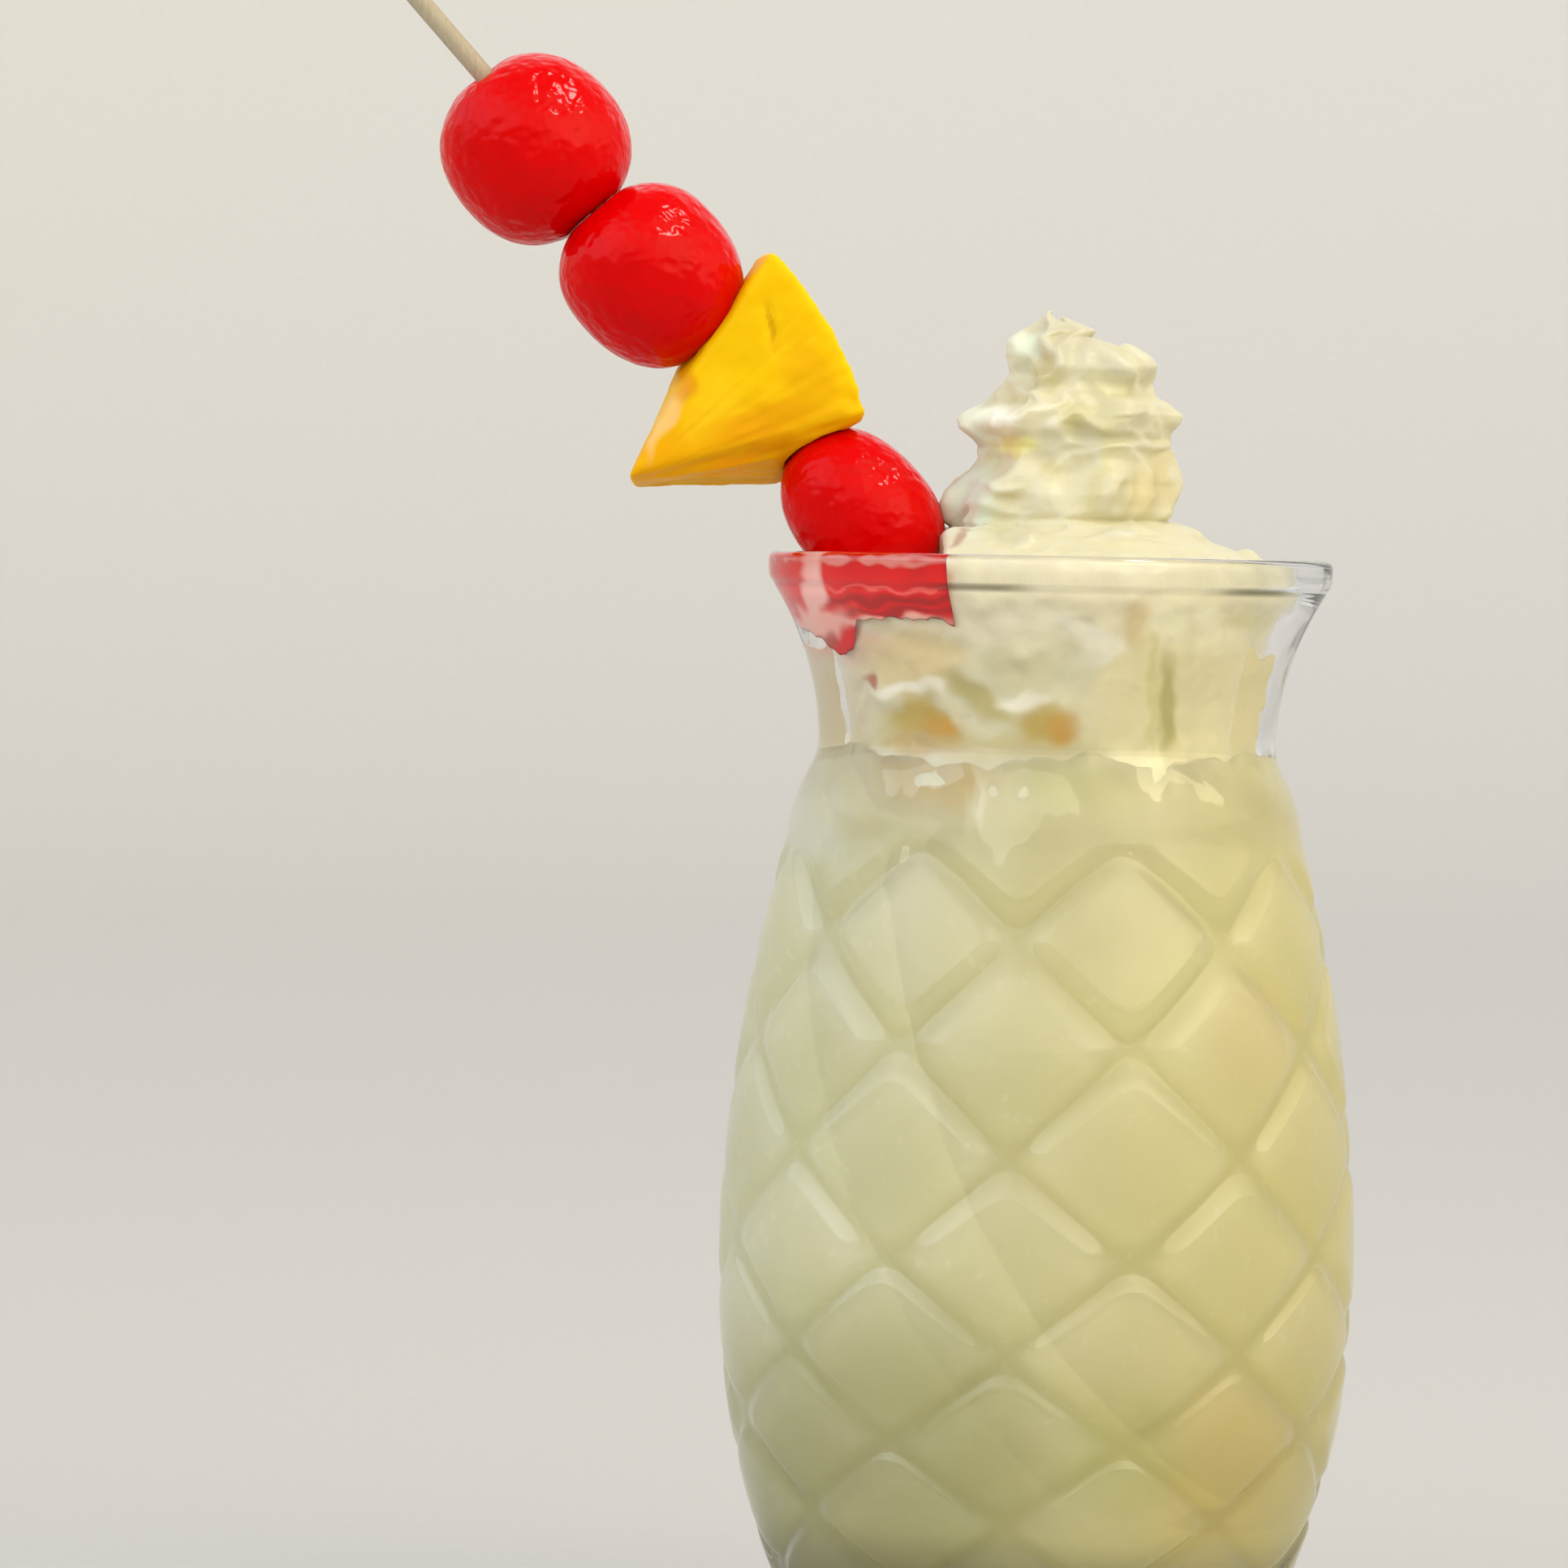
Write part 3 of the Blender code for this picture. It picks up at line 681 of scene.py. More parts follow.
def press_to_wall(cream):
    """Lets the cream touch the neck's wall: all of its left side, and a strip of its right one."""
    for vertex in cream.data.vertices:
        place = vertex.co / MM
        reach = math.hypot(place.x, place.y)
        wall = soft_radius(GLASS_HEIGHT - place.z) - WALL
        if place.z > TOUCH_TOP + 3.0 or reach < wall - TOUCH_SKIN:
            continue
        uneven = grain(place, 3.0, 11.0)
        across = place.x / reach
        if across < 0.0:
            side = eased((-across - LEFT_TOUCH + 0.02 * uneven) / 0.05)
        else:
            side = eased((across - RIGHT_TOUCH[0]) / 0.08)
            side *= eased((RIGHT_TOUCH[1] - across + 0.02 * uneven) / 0.02)
        touch = side * eased((TOUCH_TOP + 2.0 * uneven - place.z) / 2.5)
        outwards = 1.0 + (wall + TOUCH_BITE - reach) / reach * touch
        vertex.co.x *= outwards
        vertex.co.y *= outwards


def make_cream():
    """Whipped cream: the plug in the neck, the shelf at the rim, the hollow by the cherry and the swirl."""
    deepest = PLUG_DEPTH
    wall = [(depth, soft_radius(depth) - WALL - PLUG_GAP) for depth in stepped(deepest, LIP_DEPTH, 1.2)]
    plug = [(deepest, 0.0), (deepest, 18.0), (deepest, wall[0][1] - 2.0), *wall, *SHELF_CURVE]
    cream = turned("whipped_cream_swirl", plug, 160)
    hollow = make_hollow()
    cutting = cream.modifiers.new("hollow", "BOOLEAN")
    cutting.operation = "DIFFERENCE"
    cutting.object = hollow
    finish_modifiers(cream)
    bpy.data.objects.remove(hollow)
    lumps = [make_lump(*lump) for lump in CREAM_LUMPS]
    pick(cream, make_swirl(), *lumps)
    bpy.ops.object.join()
    fuse_skin(cream, 0.45, 8)

    def folds(place):
        above = eased((place.z - 140.0) / 6.0)
        bent = place + Vector((3.0 * grain(place, 8.0, 5.0), 0.0, 3.0 * grain(place, 7.0, 8.0)))
        bent.z *= 1.5
        crests = 0.45 - abs(grain(bent, 6.0)) * 2.2
        folded = above * (FOLD_RELIEF * crests + 0.4 * grain(place, 3.2, 9.0))
        ragged = PLUG_RELIEF * grain(place, 3.2, 7.0) * (1.0 - above)
        return folded + ragged + 0.1 * grain(place, 1.5, 4.0)

    swell(cream, folds)
    fit_swirl(cream)
    press_to_wall(cream)
    bpy.context.view_layer.objects.active = cream
    bpy.ops.object.shade_smooth()
    return cream


# Syrup: its film on the inner wall, from turn to turn in degrees, with how low each part runs
SYRUP_TOP = 142.1
SYRUP_FILM = 0.55
LIP_SLOPE = 0.31
MM_PER_DEGREE = 0.5
SYRUP_EDGE = [
    (-128, 139.6),
    (-112, 137),
    (-98, 134.2),
    (-88, 135.6),
    (-80, 134.2),
    (-70, 133),
    (-62, 130.6),
    (-56, 131.8),
    (-50, 135.2),
    (-42, 135.6),
    (-34, 135.6),
    (-27, 135.6),
    (-22.5, 134.9),
]


def make_syrup():
    """Cherry syrup clinging to the inner wall beside the lowest cherry: a thin closed film with runs."""
    first, last = SYRUP_EDGE[0][0], SYRUP_EDGE[-1][0]

    def place(across, along):
        degrees = first + (last - first) * across
        angle = math.radians(degrees)
        down = 1.0 - abs(2.0 * along - 1.0)
        round_wall = Vector((degrees * MM_PER_DEGREE, 0.0, 0.0))
        ragged = 0.6 * grain(round_wall, 2.0, 4.0) + 0.35 * grain(round_wall, 0.7, 1.0)
        z = SYRUP_TOP + (between(SYRUP_EDGE, degrees, eased)[0] + ragged - SYRUP_TOP) * down
        depth = max(GLASS_HEIGHT - z, LIP_DEPTH)
        wall = soft_radius(depth) - WALL + WALL_BITE + LIP_SLOPE * (depth + z - GLASS_HEIGHT)
        full = eased(down / 0.12) * eased((1.0 - down) / 0.15) * eased(min(across, 1.0 - across) / 0.04)
        radius = wall - (SYRUP_FILM * full if along > 0.5 else 0.0)
        return radius * math.sin(angle), -radius * math.cos(angle), z

    syrup = bent_grid("cherry_syrup", 160, 60, place)
    close_up(syrup)
    return syrup


# Skewer and what is on it


def on_skewer(along):
    """Stands a piece made upright on +Z on the skewer, at a distance along it."""
    axis = Vector((-math.sin(SKEWER_LEAN), 0.0, math.cos(SKEWER_LEAN)))
    return Matrix.Translation(LOW_CHERRY_PLACE + axis * along) @ Matrix.Rotation(-SKEWER_LEAN, 4, "Y")


def settle(piece, matrix):
    """Puts a piece modelled in mm in its place in metres."""
    piece.data.transform(Matrix.Scale(MM, 4) @ matrix)


def make_cherry(name):
    """A candied cherry: flattened where its neighbour presses, puckered where the skewer enters."""
    along, across, behind, radius, above, below, flat_above, flat_below = CHERRIES[name]
    start()
    bpy.ops.mesh.primitive_uv_sphere_add(segments=112, ring_count=72, radius=1.0)
    cherry = named(name.replace("cherry_", "candied_cherry_"))
    round_off = 2.0 / CHERRY_POWER
    ends = []
    for flat in (flat_above, flat_below):
        ends.append(math.sqrt(1.0 - (flat / radius) ** CHERRY_POWER) ** round_off if flat else 1.0)
    spot = on_skewer(0.0).to_3x3().inverted() @ Vector(FLAT_SPOT).normalized()
    for vertex in cherry.data.vertices:
        flat_way = math.hypot(vertex.co.x, vertex.co.y)
        rise = math.copysign(abs(vertex.co.z) ** round_off, vertex.co.z)
        reach = radius * flat_way**round_off
        turn = math.atan2(vertex.co.y, vertex.co.x)
        place = Vector((reach * math.cos(turn), reach * math.sin(turn), 0.0))
        limit = ends[0] if rise > 0 else ends[1]
        rise = math.copysign(min(abs(rise), limit), rise)
        length = above if rise > 0 else below
        from_hole = math.hypot(place.x + across, place.y + behind)
        open_end = limit == 1.0
        sink = 0.0
        if open_end:
            creases = CHERRY_CREASE * math.cos(CHERRY_CREASES * turn)
            creases *= math.exp(-((from_hole / CHERRY_CREASE_REACH) ** 2)) * eased(from_hole / 2.0)
            sink = PUCKER * math.exp(-((from_hole / PUCKER_REACH) ** 2)) - creases
        place.z = rise * length - math.copysign(sink, rise)
        facing = eased((place.normalized().dot(spot) - FLAT_EDGE) / (1.0 - FLAT_EDGE))
        dents = sum(share * grain(place, size, along + seed) for share, size, seed in CHERRY_DENTS)
        vertex.co = place * (1.0 - FLATTENING * facing) * (1.0 + dents)
    settle(cherry, on_skewer(along) @ Matrix.Translation((across, behind, 0.0)))
    close_up(cherry, 0.002)
    return cherry


def make_wedge():
    """The pineapple wedge: its solid fused to a fine skin, its edges softened and its fibres raised."""
    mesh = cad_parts["pineapple_wedge"].data.copy()
    wedge = bpy.data.objects.new("ripe_pineapple_wedge", mesh)
    bpy.context.scene.collection.objects.link(wedge)
    close_up(wedge, 0.002)
    fuse_skin(wedge, 0.3, 6)
    to_skewer = on_skewer(0.0).inverted()

    def fibres(place):
        here = to_skewer @ place
        spoke = math.atan2(here.x - WEDGE_TIP[1], here.z - WEDGE_TIP[0])
        from_tip = math.hypot(here.x - WEDGE_TIP[1], here.z - WEDGE_TIP[0])
        strand = grain(Vector((spoke * FIBRES_ROUND, here.y * 0.9, from_tip * 0.12)), 1.0)
        relief = FIBRE_RELIEF * strand * eased(from_tip / 8.0)
        relief += sum(rise * grain(place, size, seed) for rise, size, seed in FLESH_WAVES)
        notch = math.hypot(place.x - NOTCH[0], place.z - NOTCH[1]) / NOTCH_SIZE
        along = min(max((CREASE[0][1] - place.z) / (CREASE[0][1] - CREASE[1][1]), 0.0), 1.0)
        off_crease = place.x - CREASE[0][0] - (CREASE[1][0] - CREASE[0][0]) * along
        beyond = max(place.z - CREASE[0][1], CREASE[1][1] - place.z, 0.0)
        relief -= NOTCH_DEPTH * math.exp(-(notch**2))
        if place.y < 0.0:
            crease = math.hypot(off_crease / CREASE_HALF, beyond / CREASE_END)
            relief -= CREASE_DEPTH * math.exp(-(crease**2))
        return relief

    swell(wedge, fibres)
    bpy.ops.object.shade_smooth()
    return wedge


def make_skewer():
    """A round bamboo skewer, sharpened at its lower end, its edge eased at the upper one."""
    outline = [(SKEWER_END, 0.0), (SKEWER_END + 0.05, 0.12)]
    for i in range(1, 7):
        outline.append((SKEWER_END + SKEWER_POINT * i / 6, SKEWER_RADIUS * (0.1 + 0.9 * i / 6)))
    shaft = SKEWER_END + SKEWER_POINT
    length = SKEWER_TOP - SKEWER_EASING[0][0] - SKEWER_END - SKEWER_POINT
    outline += [(shaft + length * i / SKEWER_ROWS, SKEWER_RADIUS) for i in range(1, SKEWER_ROWS + 1)]
    outline += [(SKEWER_TOP - down, SKEWER_RADIUS - inwards) for down, inwards in SKEWER_EASING[1:]]

    def place(across, along):
        height, radius = outline[round(along * (len(outline) - 1))]
        angle = across * math.tau
        flat = Vector((math.cos(angle), math.sin(angle), height * 0.06))
        radius *= 1.0 - 0.035 * abs(grain(flat, 0.5, 3.0))
        return radius * math.cos(angle), radius * math.sin(angle), height

    skewer = bent_grid("bamboo_skewer", 40, len(outline) - 1, place)
    skewer.data.transform(Matrix.Scale(1.0 / MM, 4))
    settle(skewer, on_skewer(0.0))
    close_up(skewer, 0.002)
    return skewer


# Materials


def paint(code):
    """Linear red, green, blue and alpha from an sRGB hex code."""
    parts = [int(code[i : i + 2], 16) / 255.0 for i in (0, 2, 4)]
    return (*[c / 12.92 if c <= 0.04045 else ((c + 0.055) / 1.055) ** 2.4 for c in parts], 1.0)


def feed(tree, node, inputs):
    """Gives each of these inputs a value, or joins it to an earlier output."""
    for key, value in inputs.items():
        if isinstance(value, bpy.types.NodeSocket):
            tree.links.new(value, node.inputs[key])
        else:
            node.inputs[key].default_value = value


def add(tree, kind, inputs=None, **settings):
    """Adds a node with its settings and feeds its inputs."""
    made = tree.nodes.new("ShaderNode" + kind)
    for key, value in settings.items():
        setattr(made, key, value)
    feed(tree, made, inputs or {})
    return made


def new_look(name):
    """An empty material with its shader and its place on the piece in metres."""
    look = bpy.data.materials.new(name)
    look.use_nodes = True
    tree = look.node_tree
    place = add(tree, "TexCoord").outputs["Object"]
    return look, tree, tree.nodes["Principled BSDF"], place


def mottled(tree, place, size, detail, low, high):
    """Cloudy noise with features of one size in mm, and the colour that it mixes from two."""
    clouds = add(tree, "TexNoise", {"Vector": place, "Scale": 1.0 / (size * MM), "Detail": detail})
    share = clouds.outputs["Fac"]
    mixed = {0: share, 6: paint(low), 7: paint(high)}
    return share, add(tree, "Mix", mixed, data_type="RGBA").outputs[2]


def sunken_light(share, reach):
    """Sockets for light that sinks into soft food: its share, and its red, green and blue reach in mm."""
    return {
        "Subsurface Weight": share,
        "Subsurface Radius": [way * MM for way in reach],
        "Subsurface Scale": 1.0,
    }


def lay_stains_and_painted_light(tree, colour):
    """Lays the piece's own tints, with their painted light and shade, over a colour."""
    stain_and_painted_light = add(tree, "Attribute", attribute_name="stain_and_painted_light")
    tinted = {0: stain_and_painted_light.outputs["Alpha"], 6: colour, 7: stain_and_painted_light.outputs["Color"]}
    return add(tree, "Mix", tinted, data_type="RGBA").outputs[2]


def pressed_soda_glass():
    """Pressed soda-lime glass: colourless, fire-polished, faintly rippled by the mould, its base colour a
    painted tint, highlight and shade.
    """
    look, tree, shader, place = new_look("pressed_soda_glass")
    ripple = add(tree, "TexNoise", {"Vector": place, "Scale": 1.0 / (9.0 * MM), "Detail": 1.0})
    bump = add(tree, "Bump", {"Height": ripple.outputs["Fac"], "Strength": 0.35, "Distance": 0.3 * MM})
    # the base colour is the tint with painted highlight and painted shade written on the glass
    tint_and_painted_light = add(tree, "Attribute", attribute_name="tint_and_painted_light").outputs["Color"]
    feed(tree, shader, {"Base Color": tint_and_painted_light, "Normal": bump.outputs["Normal"], "Roughness": 0.0})
    feed(tree, shader, {"IOR": 1.51, "Transmission Weight": 1.0})
    lamp_way = add(tree, "LightPath").outputs["Is Shadow Ray"]
    clear = add(tree, "BsdfTransparent", {"Color": (0.93, 0.95, 0.91, 1.0)})
    both = add(tree, "MixShader", {0: lamp_way, 1: shader.outputs[0], 2: clear.outputs[0]})
    feed(tree, tree.nodes["Material Output"], {"Surface": both.outputs[0]})
    return look


def blended_coconut_drink():
    """Coconut cream blended with pineapple juice: opaque, milky, clouded with pulp and fine foam, painted
    greyer to the left and yellower to the right as side light.
    """
    look, tree, shader, place = new_look("blended_coconut_drink")
    clouds = add(tree, "TexNoise", {"Vector": place, "Scale": 1.0 / (16.0 * MM), "Detail": 3.0})
    pulp = add(tree, "TexNoise", {"Vector": place, "Scale": 1.0 / (1.6 * MM), "Detail": 2.0})
    cloudy = add(tree, "MapRange", {0: clouds.outputs["Fac"], 1: 0.35, 2: 0.65})
    milk = {0: cloudy.outputs[0], 6: paint("D3D1A2"), 7: paint("DAD7B2")}
    milk = add(tree, "Mix", milk, data_type="RGBA")
    # painted side light: greyer and cooler to the left, yellower and warmer to the right
    across = add(tree, "SeparateXYZ", {0: place}).outputs[0]
    drift = {0: clouds.outputs["Fac"], 1: 30.0 * MM, 2: -15.0 * MM}
    drift = add(tree, "Math", drift, operation="MULTIPLY_ADD")
    side = add(tree, "Math", {0: across, 1: drift.outputs[0]}, operation="ADD")
    painted_side_light = add(tree, "MapRange", {0: side.outputs[0], 1: -34.0 * MM, 2: 30.0 * MM})
    juice = {0: painted_side_light.outputs[0], 6: paint("D6D6C4"), 7: paint("E6D896")}
    side_lit_tones = add(tree, "Mix", juice, data_type="RGBA")
    milk = add(tree, "Mix", {0: 0.5, 6: milk.outputs[2], 7: side_lit_tones.outputs[2]}, data_type="RGBA")
    specks = add(tree, "MapRange", {0: pulp.outputs["Fac"], 1: 0.62, 2: 0.75, 3: 0.0, 4: 0.35})
    specked = {0: specks.outputs[0], 6: milk.outputs[2], 7: paint("EAE4C8")}
    specked = add(tree, "Mix", specked, data_type="RGBA")
    feed(tree, shader, {"Base Color": lay_stains_and_painted_light(tree, specked.outputs[2]), "Roughness": 0.5})
    feed(tree, shader, {"Specular IOR Level": 0.1, **sunken_light(0.25, (3.0, 2.6, 1.6))})
    return look


def whipped_cream():
    """Whipped dairy cream: matte, soft and translucent, its hollows painted pale gold for the light that
    sinks into them.
    """
    look, tree, shader, place = new_look("whipped_dairy_cream")
    clouds = add(tree, "TexNoise", {"Vector": place, "Scale": 1.0 / (6.0 * MM), "Detail": 3.0})
    fine = add(tree, "TexNoise", {"Vector": place, "Scale": 1.0 / (0.9 * MM), "Detail": 2.0})
    # painted glow: the hollows turn pale gold
    hollow = add(tree, "Attribute", attribute_name="hollow").outputs["Fac"]
    hollow_glow = add(tree, "Math", {0: clouds.outputs["Fac"], 1: hollow}, operation="MULTIPLY")
    body = {0: hollow_glow.outputs[0], 6: paint("D6D2B8"), 7: paint("DBD29E")}
    body = add(tree, "Mix", body, data_type="RGBA")
    bump = add(tree, "Bump", {"Height": fine.outputs["Fac"], "Strength": 0.3, "Distance": 0.2 * MM})
    feed(tree, shader, {"Base Color": lay_stains_and_painted_light(tree, body.outputs[2]), "Normal": bump.outputs["Normal"]})
    feed(tree, shader, {"Roughness": 0.42, **sunken_light(0.4, (2.2, 2.0, 1.4))})
    return look


def candied_cherry():
    """Candied cherry in syrup: deep translucent red flesh under a wet, glossy, faintly pitted skin."""
    look, tree, shader, place = new_look("candied_cherry_flesh")
    _, flesh = mottled(tree, place, 5.0, 2.0, "CC0001", "DE0001")
    pits = add(tree, "TexNoise", {"Vector": place, "Scale": 1.0 / (1.8 * MM), "Detail": 1.0})
    bump = add(tree, "Bump", {"Height": pits.outputs["Fac"], "Strength": 0.5, "Distance": 0.8 * MM})
    feed(tree, shader, {"Base Color": flesh, "Normal": bump.outputs["Normal"]})
    feed(tree, shader, {"Roughness": 0.15, "IOR": 1.4, "Specular IOR Level": 0.14})
    feed(tree, shader, sunken_light(0.4, (4.0, 0.6, 0.4)))
    return look


def cherry_syrup():
    """Thick cherry syrup against glass: saturated red, glossy, letting a little light through."""
    look, tree, shader, place = new_look("thick_cherry_syrup")
    _, red = mottled(tree, place, 3.0, 2.0, "CC0002", "F80008")
    feed(tree, shader, {"Base Color": lay_stains_and_painted_light(tree, red), "Roughness": 0.12})
    feed(tree, shader, {"Specular IOR Level": 0.1, **sunken_light(0.2, (1.5, 0.2, 0.2))})
    return look


def ripe_pineapple():
    """Ripe pineapple flesh, full of juice: golden yellow, painted a deeper orange lower down as shade, with
    pale radiating fibres.
    """
    look, tree, shader, place = new_look("ripe_pineapple_flesh")
    mottle = add(tree, "TexNoise", {"Vector": place, "Scale": 1.0 / (4.0 * MM), "Detail": 3.0})
    height = add(tree, "SeparateXYZ", {0: place}).outputs[2]
    # painted shade: deeper orange lower down
    low = {0: height, 1: 165.0 * MM, 2: 153.0 * MM}
    low = add(tree, "MapRange", low, interpolation_type="SMOOTHSTEP")
    flesh = {0: low.outputs[0], 6: paint("F6CC00"), 7: paint("E59C02")}
    flesh = add(tree, "Mix", flesh, data_type="RGBA")
    flesh = {0: mottle.outputs["Fac"], 6: flesh.outputs[2], 7: paint("F2C000")}
    flesh = add(tree, "Mix", flesh, data_type="RGBA")
    bump = add(tree, "Bump", {"Height": mottle.outputs["Fac"], "Strength": 0.3, "Distance": 0.3 * MM})
    feed(tree, shader, {"Base Color": lay_stains_and_painted_light(tree, flesh.outputs[2]), "Roughness": 0.45})
    feed(tree, shader, {"Normal": bump.outputs["Normal"], "Specular IOR Level": 0.08})
    feed(tree, shader, sunken_light(0.4, (3.0, 1.6, 0.3)))
    return look


def split_bamboo():
    """Split and rounded bamboo: dry, pale tan, with long fine fibres."""
    look, tree, shader, place = new_look("split_bamboo")
    lengthwise = {"Vector": place, "Rotation": (0.0, SKEWER_LEAN, 0.0), "Scale": (1.0, 1.0, 0.04)}
    along = add(tree, "Mapping", lengthwise)
    strands, wood = mottled(tree, along.outputs[0], 0.35, 3.0, "9B8D70", "C1B79C")
    bump = add(tree, "Bump", {"Height": strands, "Strength": 0.4, "Distance": 0.1 * MM})
    feed(tree, shader, {"Base Color": wood, "Normal": bump.outputs["Normal"], "Roughness": 0.6})
    return look


def studio_floor():
    """Matte pale paper, swept up all round, its top fading out so that no edge shows in the glass."""
    look, tree, shader, place = new_look("pale_studio_paper")
    _, tone = mottled(tree, place, 2.5, 2.0, "C6C5C2", "CBCAC8")
    height = add(tree, "SeparateXYZ", {0: place}).outputs[2]
    fade = {0: height, 1: PAPER_FADE[0], 2: PAPER_FADE[1], 3: 1.0, 4: 0.0}
    fade = add(tree, "MapRange", fade, interpolation_type="SMOOTHSTEP")
    feed(tree, shader, {"Base Color": tone, "Alpha": fade.outputs[0], "Roughness": 0.9})
    return look


# Assembly

HOLLOW_ROUNDS = 10
HOLLOW_DEPTH = 0.5


def mark_hollows(piece):
    """Writes how hollow the surface is at each point, from how far its neighbours stand out."""
    mesh = piece.data
    count = len(mesh.vertices)
    edges = [tuple(edge.vertices) for edge in mesh.edges]
    places = [vertex.co / MM for vertex in mesh.vertices]
    normals = [vertex.normal.copy() for vertex in mesh.vertices]
    smooth = list(places)
    for _ in range(HOLLOW_ROUNDS):
        total = [Vector() for _ in range(count)]
        number = [0] * count
        for a, b in edges:
            total[a] += smooth[b]
            total[b] += smooth[a]
            number[a] += 1
            number[b] += 1
        smooth = [(old + t / max(n, 1)) / 2.0 for old, t, n in zip(smooth, total, number)]
    marks = mesh.attributes.new("hollow", "FLOAT", "POINT")
    for i in range(count):
        depth = (smooth[i] - places[i]).dot(normals[i])
        marks.data[i].value = eased(0.5 + depth / HOLLOW_DEPTH)


# Patches on the pieces, by the turn of the side that they lie on: colours where fruit, juice and melting
# ice show, and painted light and shade, lighter where a side lies in shade and darker where it catches too
# much light. Columns: place across it and height, half-width and half-height in mm, tilt in degrees,
# colour, strength
CREAM_FRONT = [
    (0, 116.5, 40, 5, 0, "DAD5AC", 0.8),
    (16, 128, 15, 12, 0, "EEE2AC", 0.75),
    (-2, 130, 9, 9, 0, "E6E0C8", 0.5),
    (0, 137.5, 22, 4.5, 0, "F8EED0", 0.8),
    (16.7, 135.3, 5.5, 3.2, 0, "FFF6D0", 0.8),
    (-24.5, 122.6, 4.1, 6.5, 0, "D2BE94", 0.7),
    (-23.6, 132.4, 4.6, 2.3, 0, "E8A79A", 0.7),
    (-16.1, 130.4, 6, 4, 0, "EAD49C", 0.9),
    (-16.2, 126.6, 5, 0.9, 5, "FAF4E2", 0.95),
    (-20.9, 127.3, 0.9, 0.8, 0, "B0552E", 0.9),
    (-15, 122.1, 3.6, 3.4, 0, "C0A43C", 0.95),
    (-11.8, 120.9, 2.9, 2.1, -25, "CC981C", 0.95),
    (-0.2, 122, 3.5, 2.6, 0, "C0A43C", 0.95),
    (2.1, 121.8, 1.8, 2.1, 0, "CC9A22", 0.95),
    (-8, 125.6, 5, 1.5, -39, "BDAE62", 0.85),
    (-3.9, 129.9, 4, 4, 0, "D8D0AA", 0.9),
    (-2.9, 125.2, 2.9, 1, 0, "FAF5E4", 0.95),
    (-8.5, 120.8, 7.7, 1.2, -48, "DCD2AE", 0.8),
    (-3, 133.8, 5.5, 2, 0, "F4ECCE", 0.8),
    (-8, 118.9, 13, 1.7, 0, "CFC28E", 0.8),
    (-15.6, 119.2, 4, 1.7, 0, "C8AC6A", 0.8),
    (-5.5, 135.8, 4, 1.6, 15, "F0E8D0", 0.6),
    (2.7, 135.1, 2.1, 1.4, 0, "D2CBAC", 0.7),
    (4.3, 134.1, 4.8, 1.2, -25, "F8F2DE", 0.9),
    (5.8, 131.4, 3.4, 1.1, 30, "F8F2DE", 0.9),
    (3.6, 129.5, 2.8, 2.6, 0, "D3CDB0", 0.6),
    (10.3, 135.2, 1.5, 2.9, 0, "E2CC92", 0.85),
    (12.2, 126.7, 0.6, 8.2, 0, "D6CC86", 0.6),
    (14.1, 124.6, 1.1, 6.6, 0, "B8AE5E", 0.9),
    (16.5, 127, 1.2, 9, 0, "E2D8AC", 0.5),
    (24.1, 136.4, 2.8, 1.6, 0, "D6CD84", 0.6),
    # painted light and shade on the swirl: near-white and pale green patches lighten its left side, which
    # lies in shade, and cancel the cherries' pink glow; grey and tan patches darken its overlit tops, its
    # hollows and the shade under its lobes
    (-8.7, 159.5, 3.8, 2.4, 0, "FFFFF0", 0.95),
    (1.2, 170.3, 7, 4.5, 0, "C8C4A8", 0.6),
    (6.4, 162, 5, 4, 0, "CCC6A4", 0.55),
    (11.5, 151.8, 4, 4, 0, "CCC092", 0.45),
    (-7.2, 157.4, 1.8, 1.8, 0, "DCEAC8", 0.8),
    (-10.6, 149.8, 3.2, 3.6, 0, "DCEAD2", 0.85),
    (-4.2, 168.2, 2.4, 2.6, 0, "E4EED8", 0.8),
    (-0.8, 160, 2.4, 1.6, 0, "EAE6CE", 0.7),
    (-4.7, 156.8, 2.9, 1.1, 0, "E2DC88", 0.85),
    (-7.5, 155, 1.3, 1.6, 0, "CCD498", 0.75),
    (1.2, 170.6, 1.8, 1.4, 0, "C6C0A0", 0.75),
    (6.4, 160.4, 2.2, 1.8, 0, "CBC598", 0.6),
    (-3.9, 145.9, 3, 1.1, 0, "C8C4A2", 0.5),
    (-12.5, 155.5, 5, 9, 0, "D4E0CC", 0.8),
    (-1.3, 166.2, 1.8, 2.2, 30, "CCC48E", 0.75),
    (7.2, 164.5, 2.8, 1.8, 0, "CCC698", 0.8),
    (2.5, 160.3, 2, 2.1, 0, "CBC48E", 0.75),
    (-0.1, 154.2, 1.3, 1.1, -20, "CDC38E", 0.75),
    (7, 155.9, 1.3, 3.4, 0, "D0CA98", 0.7),
    (5, 150.9, 1.4, 2.7, -15, "CCC48E", 0.7),
    (11.2, 150.7, 1.9, 2.7, 0, "D8CA94", 0.65),
    (13.7, 153.2, 1.6, 3.8, 0, "CCC092", 0.85),
    (-6.6, 145.8, 2, 0.9, 0, "C8C7A2", 0.6),
    # a pink-brown streak of cherry juice on the cream
    (-11.2, 144.9, 0.5, 1.7, -30, "B08A72", 0.8),
    # painted shade on overlit tops
    (6.6, 167.4, 2.2, 1, 0, "C6C0A6", 0.6),
    (2.5, 170.5, 2, 0.9, 0, "C8C0A2", 0.6),
]
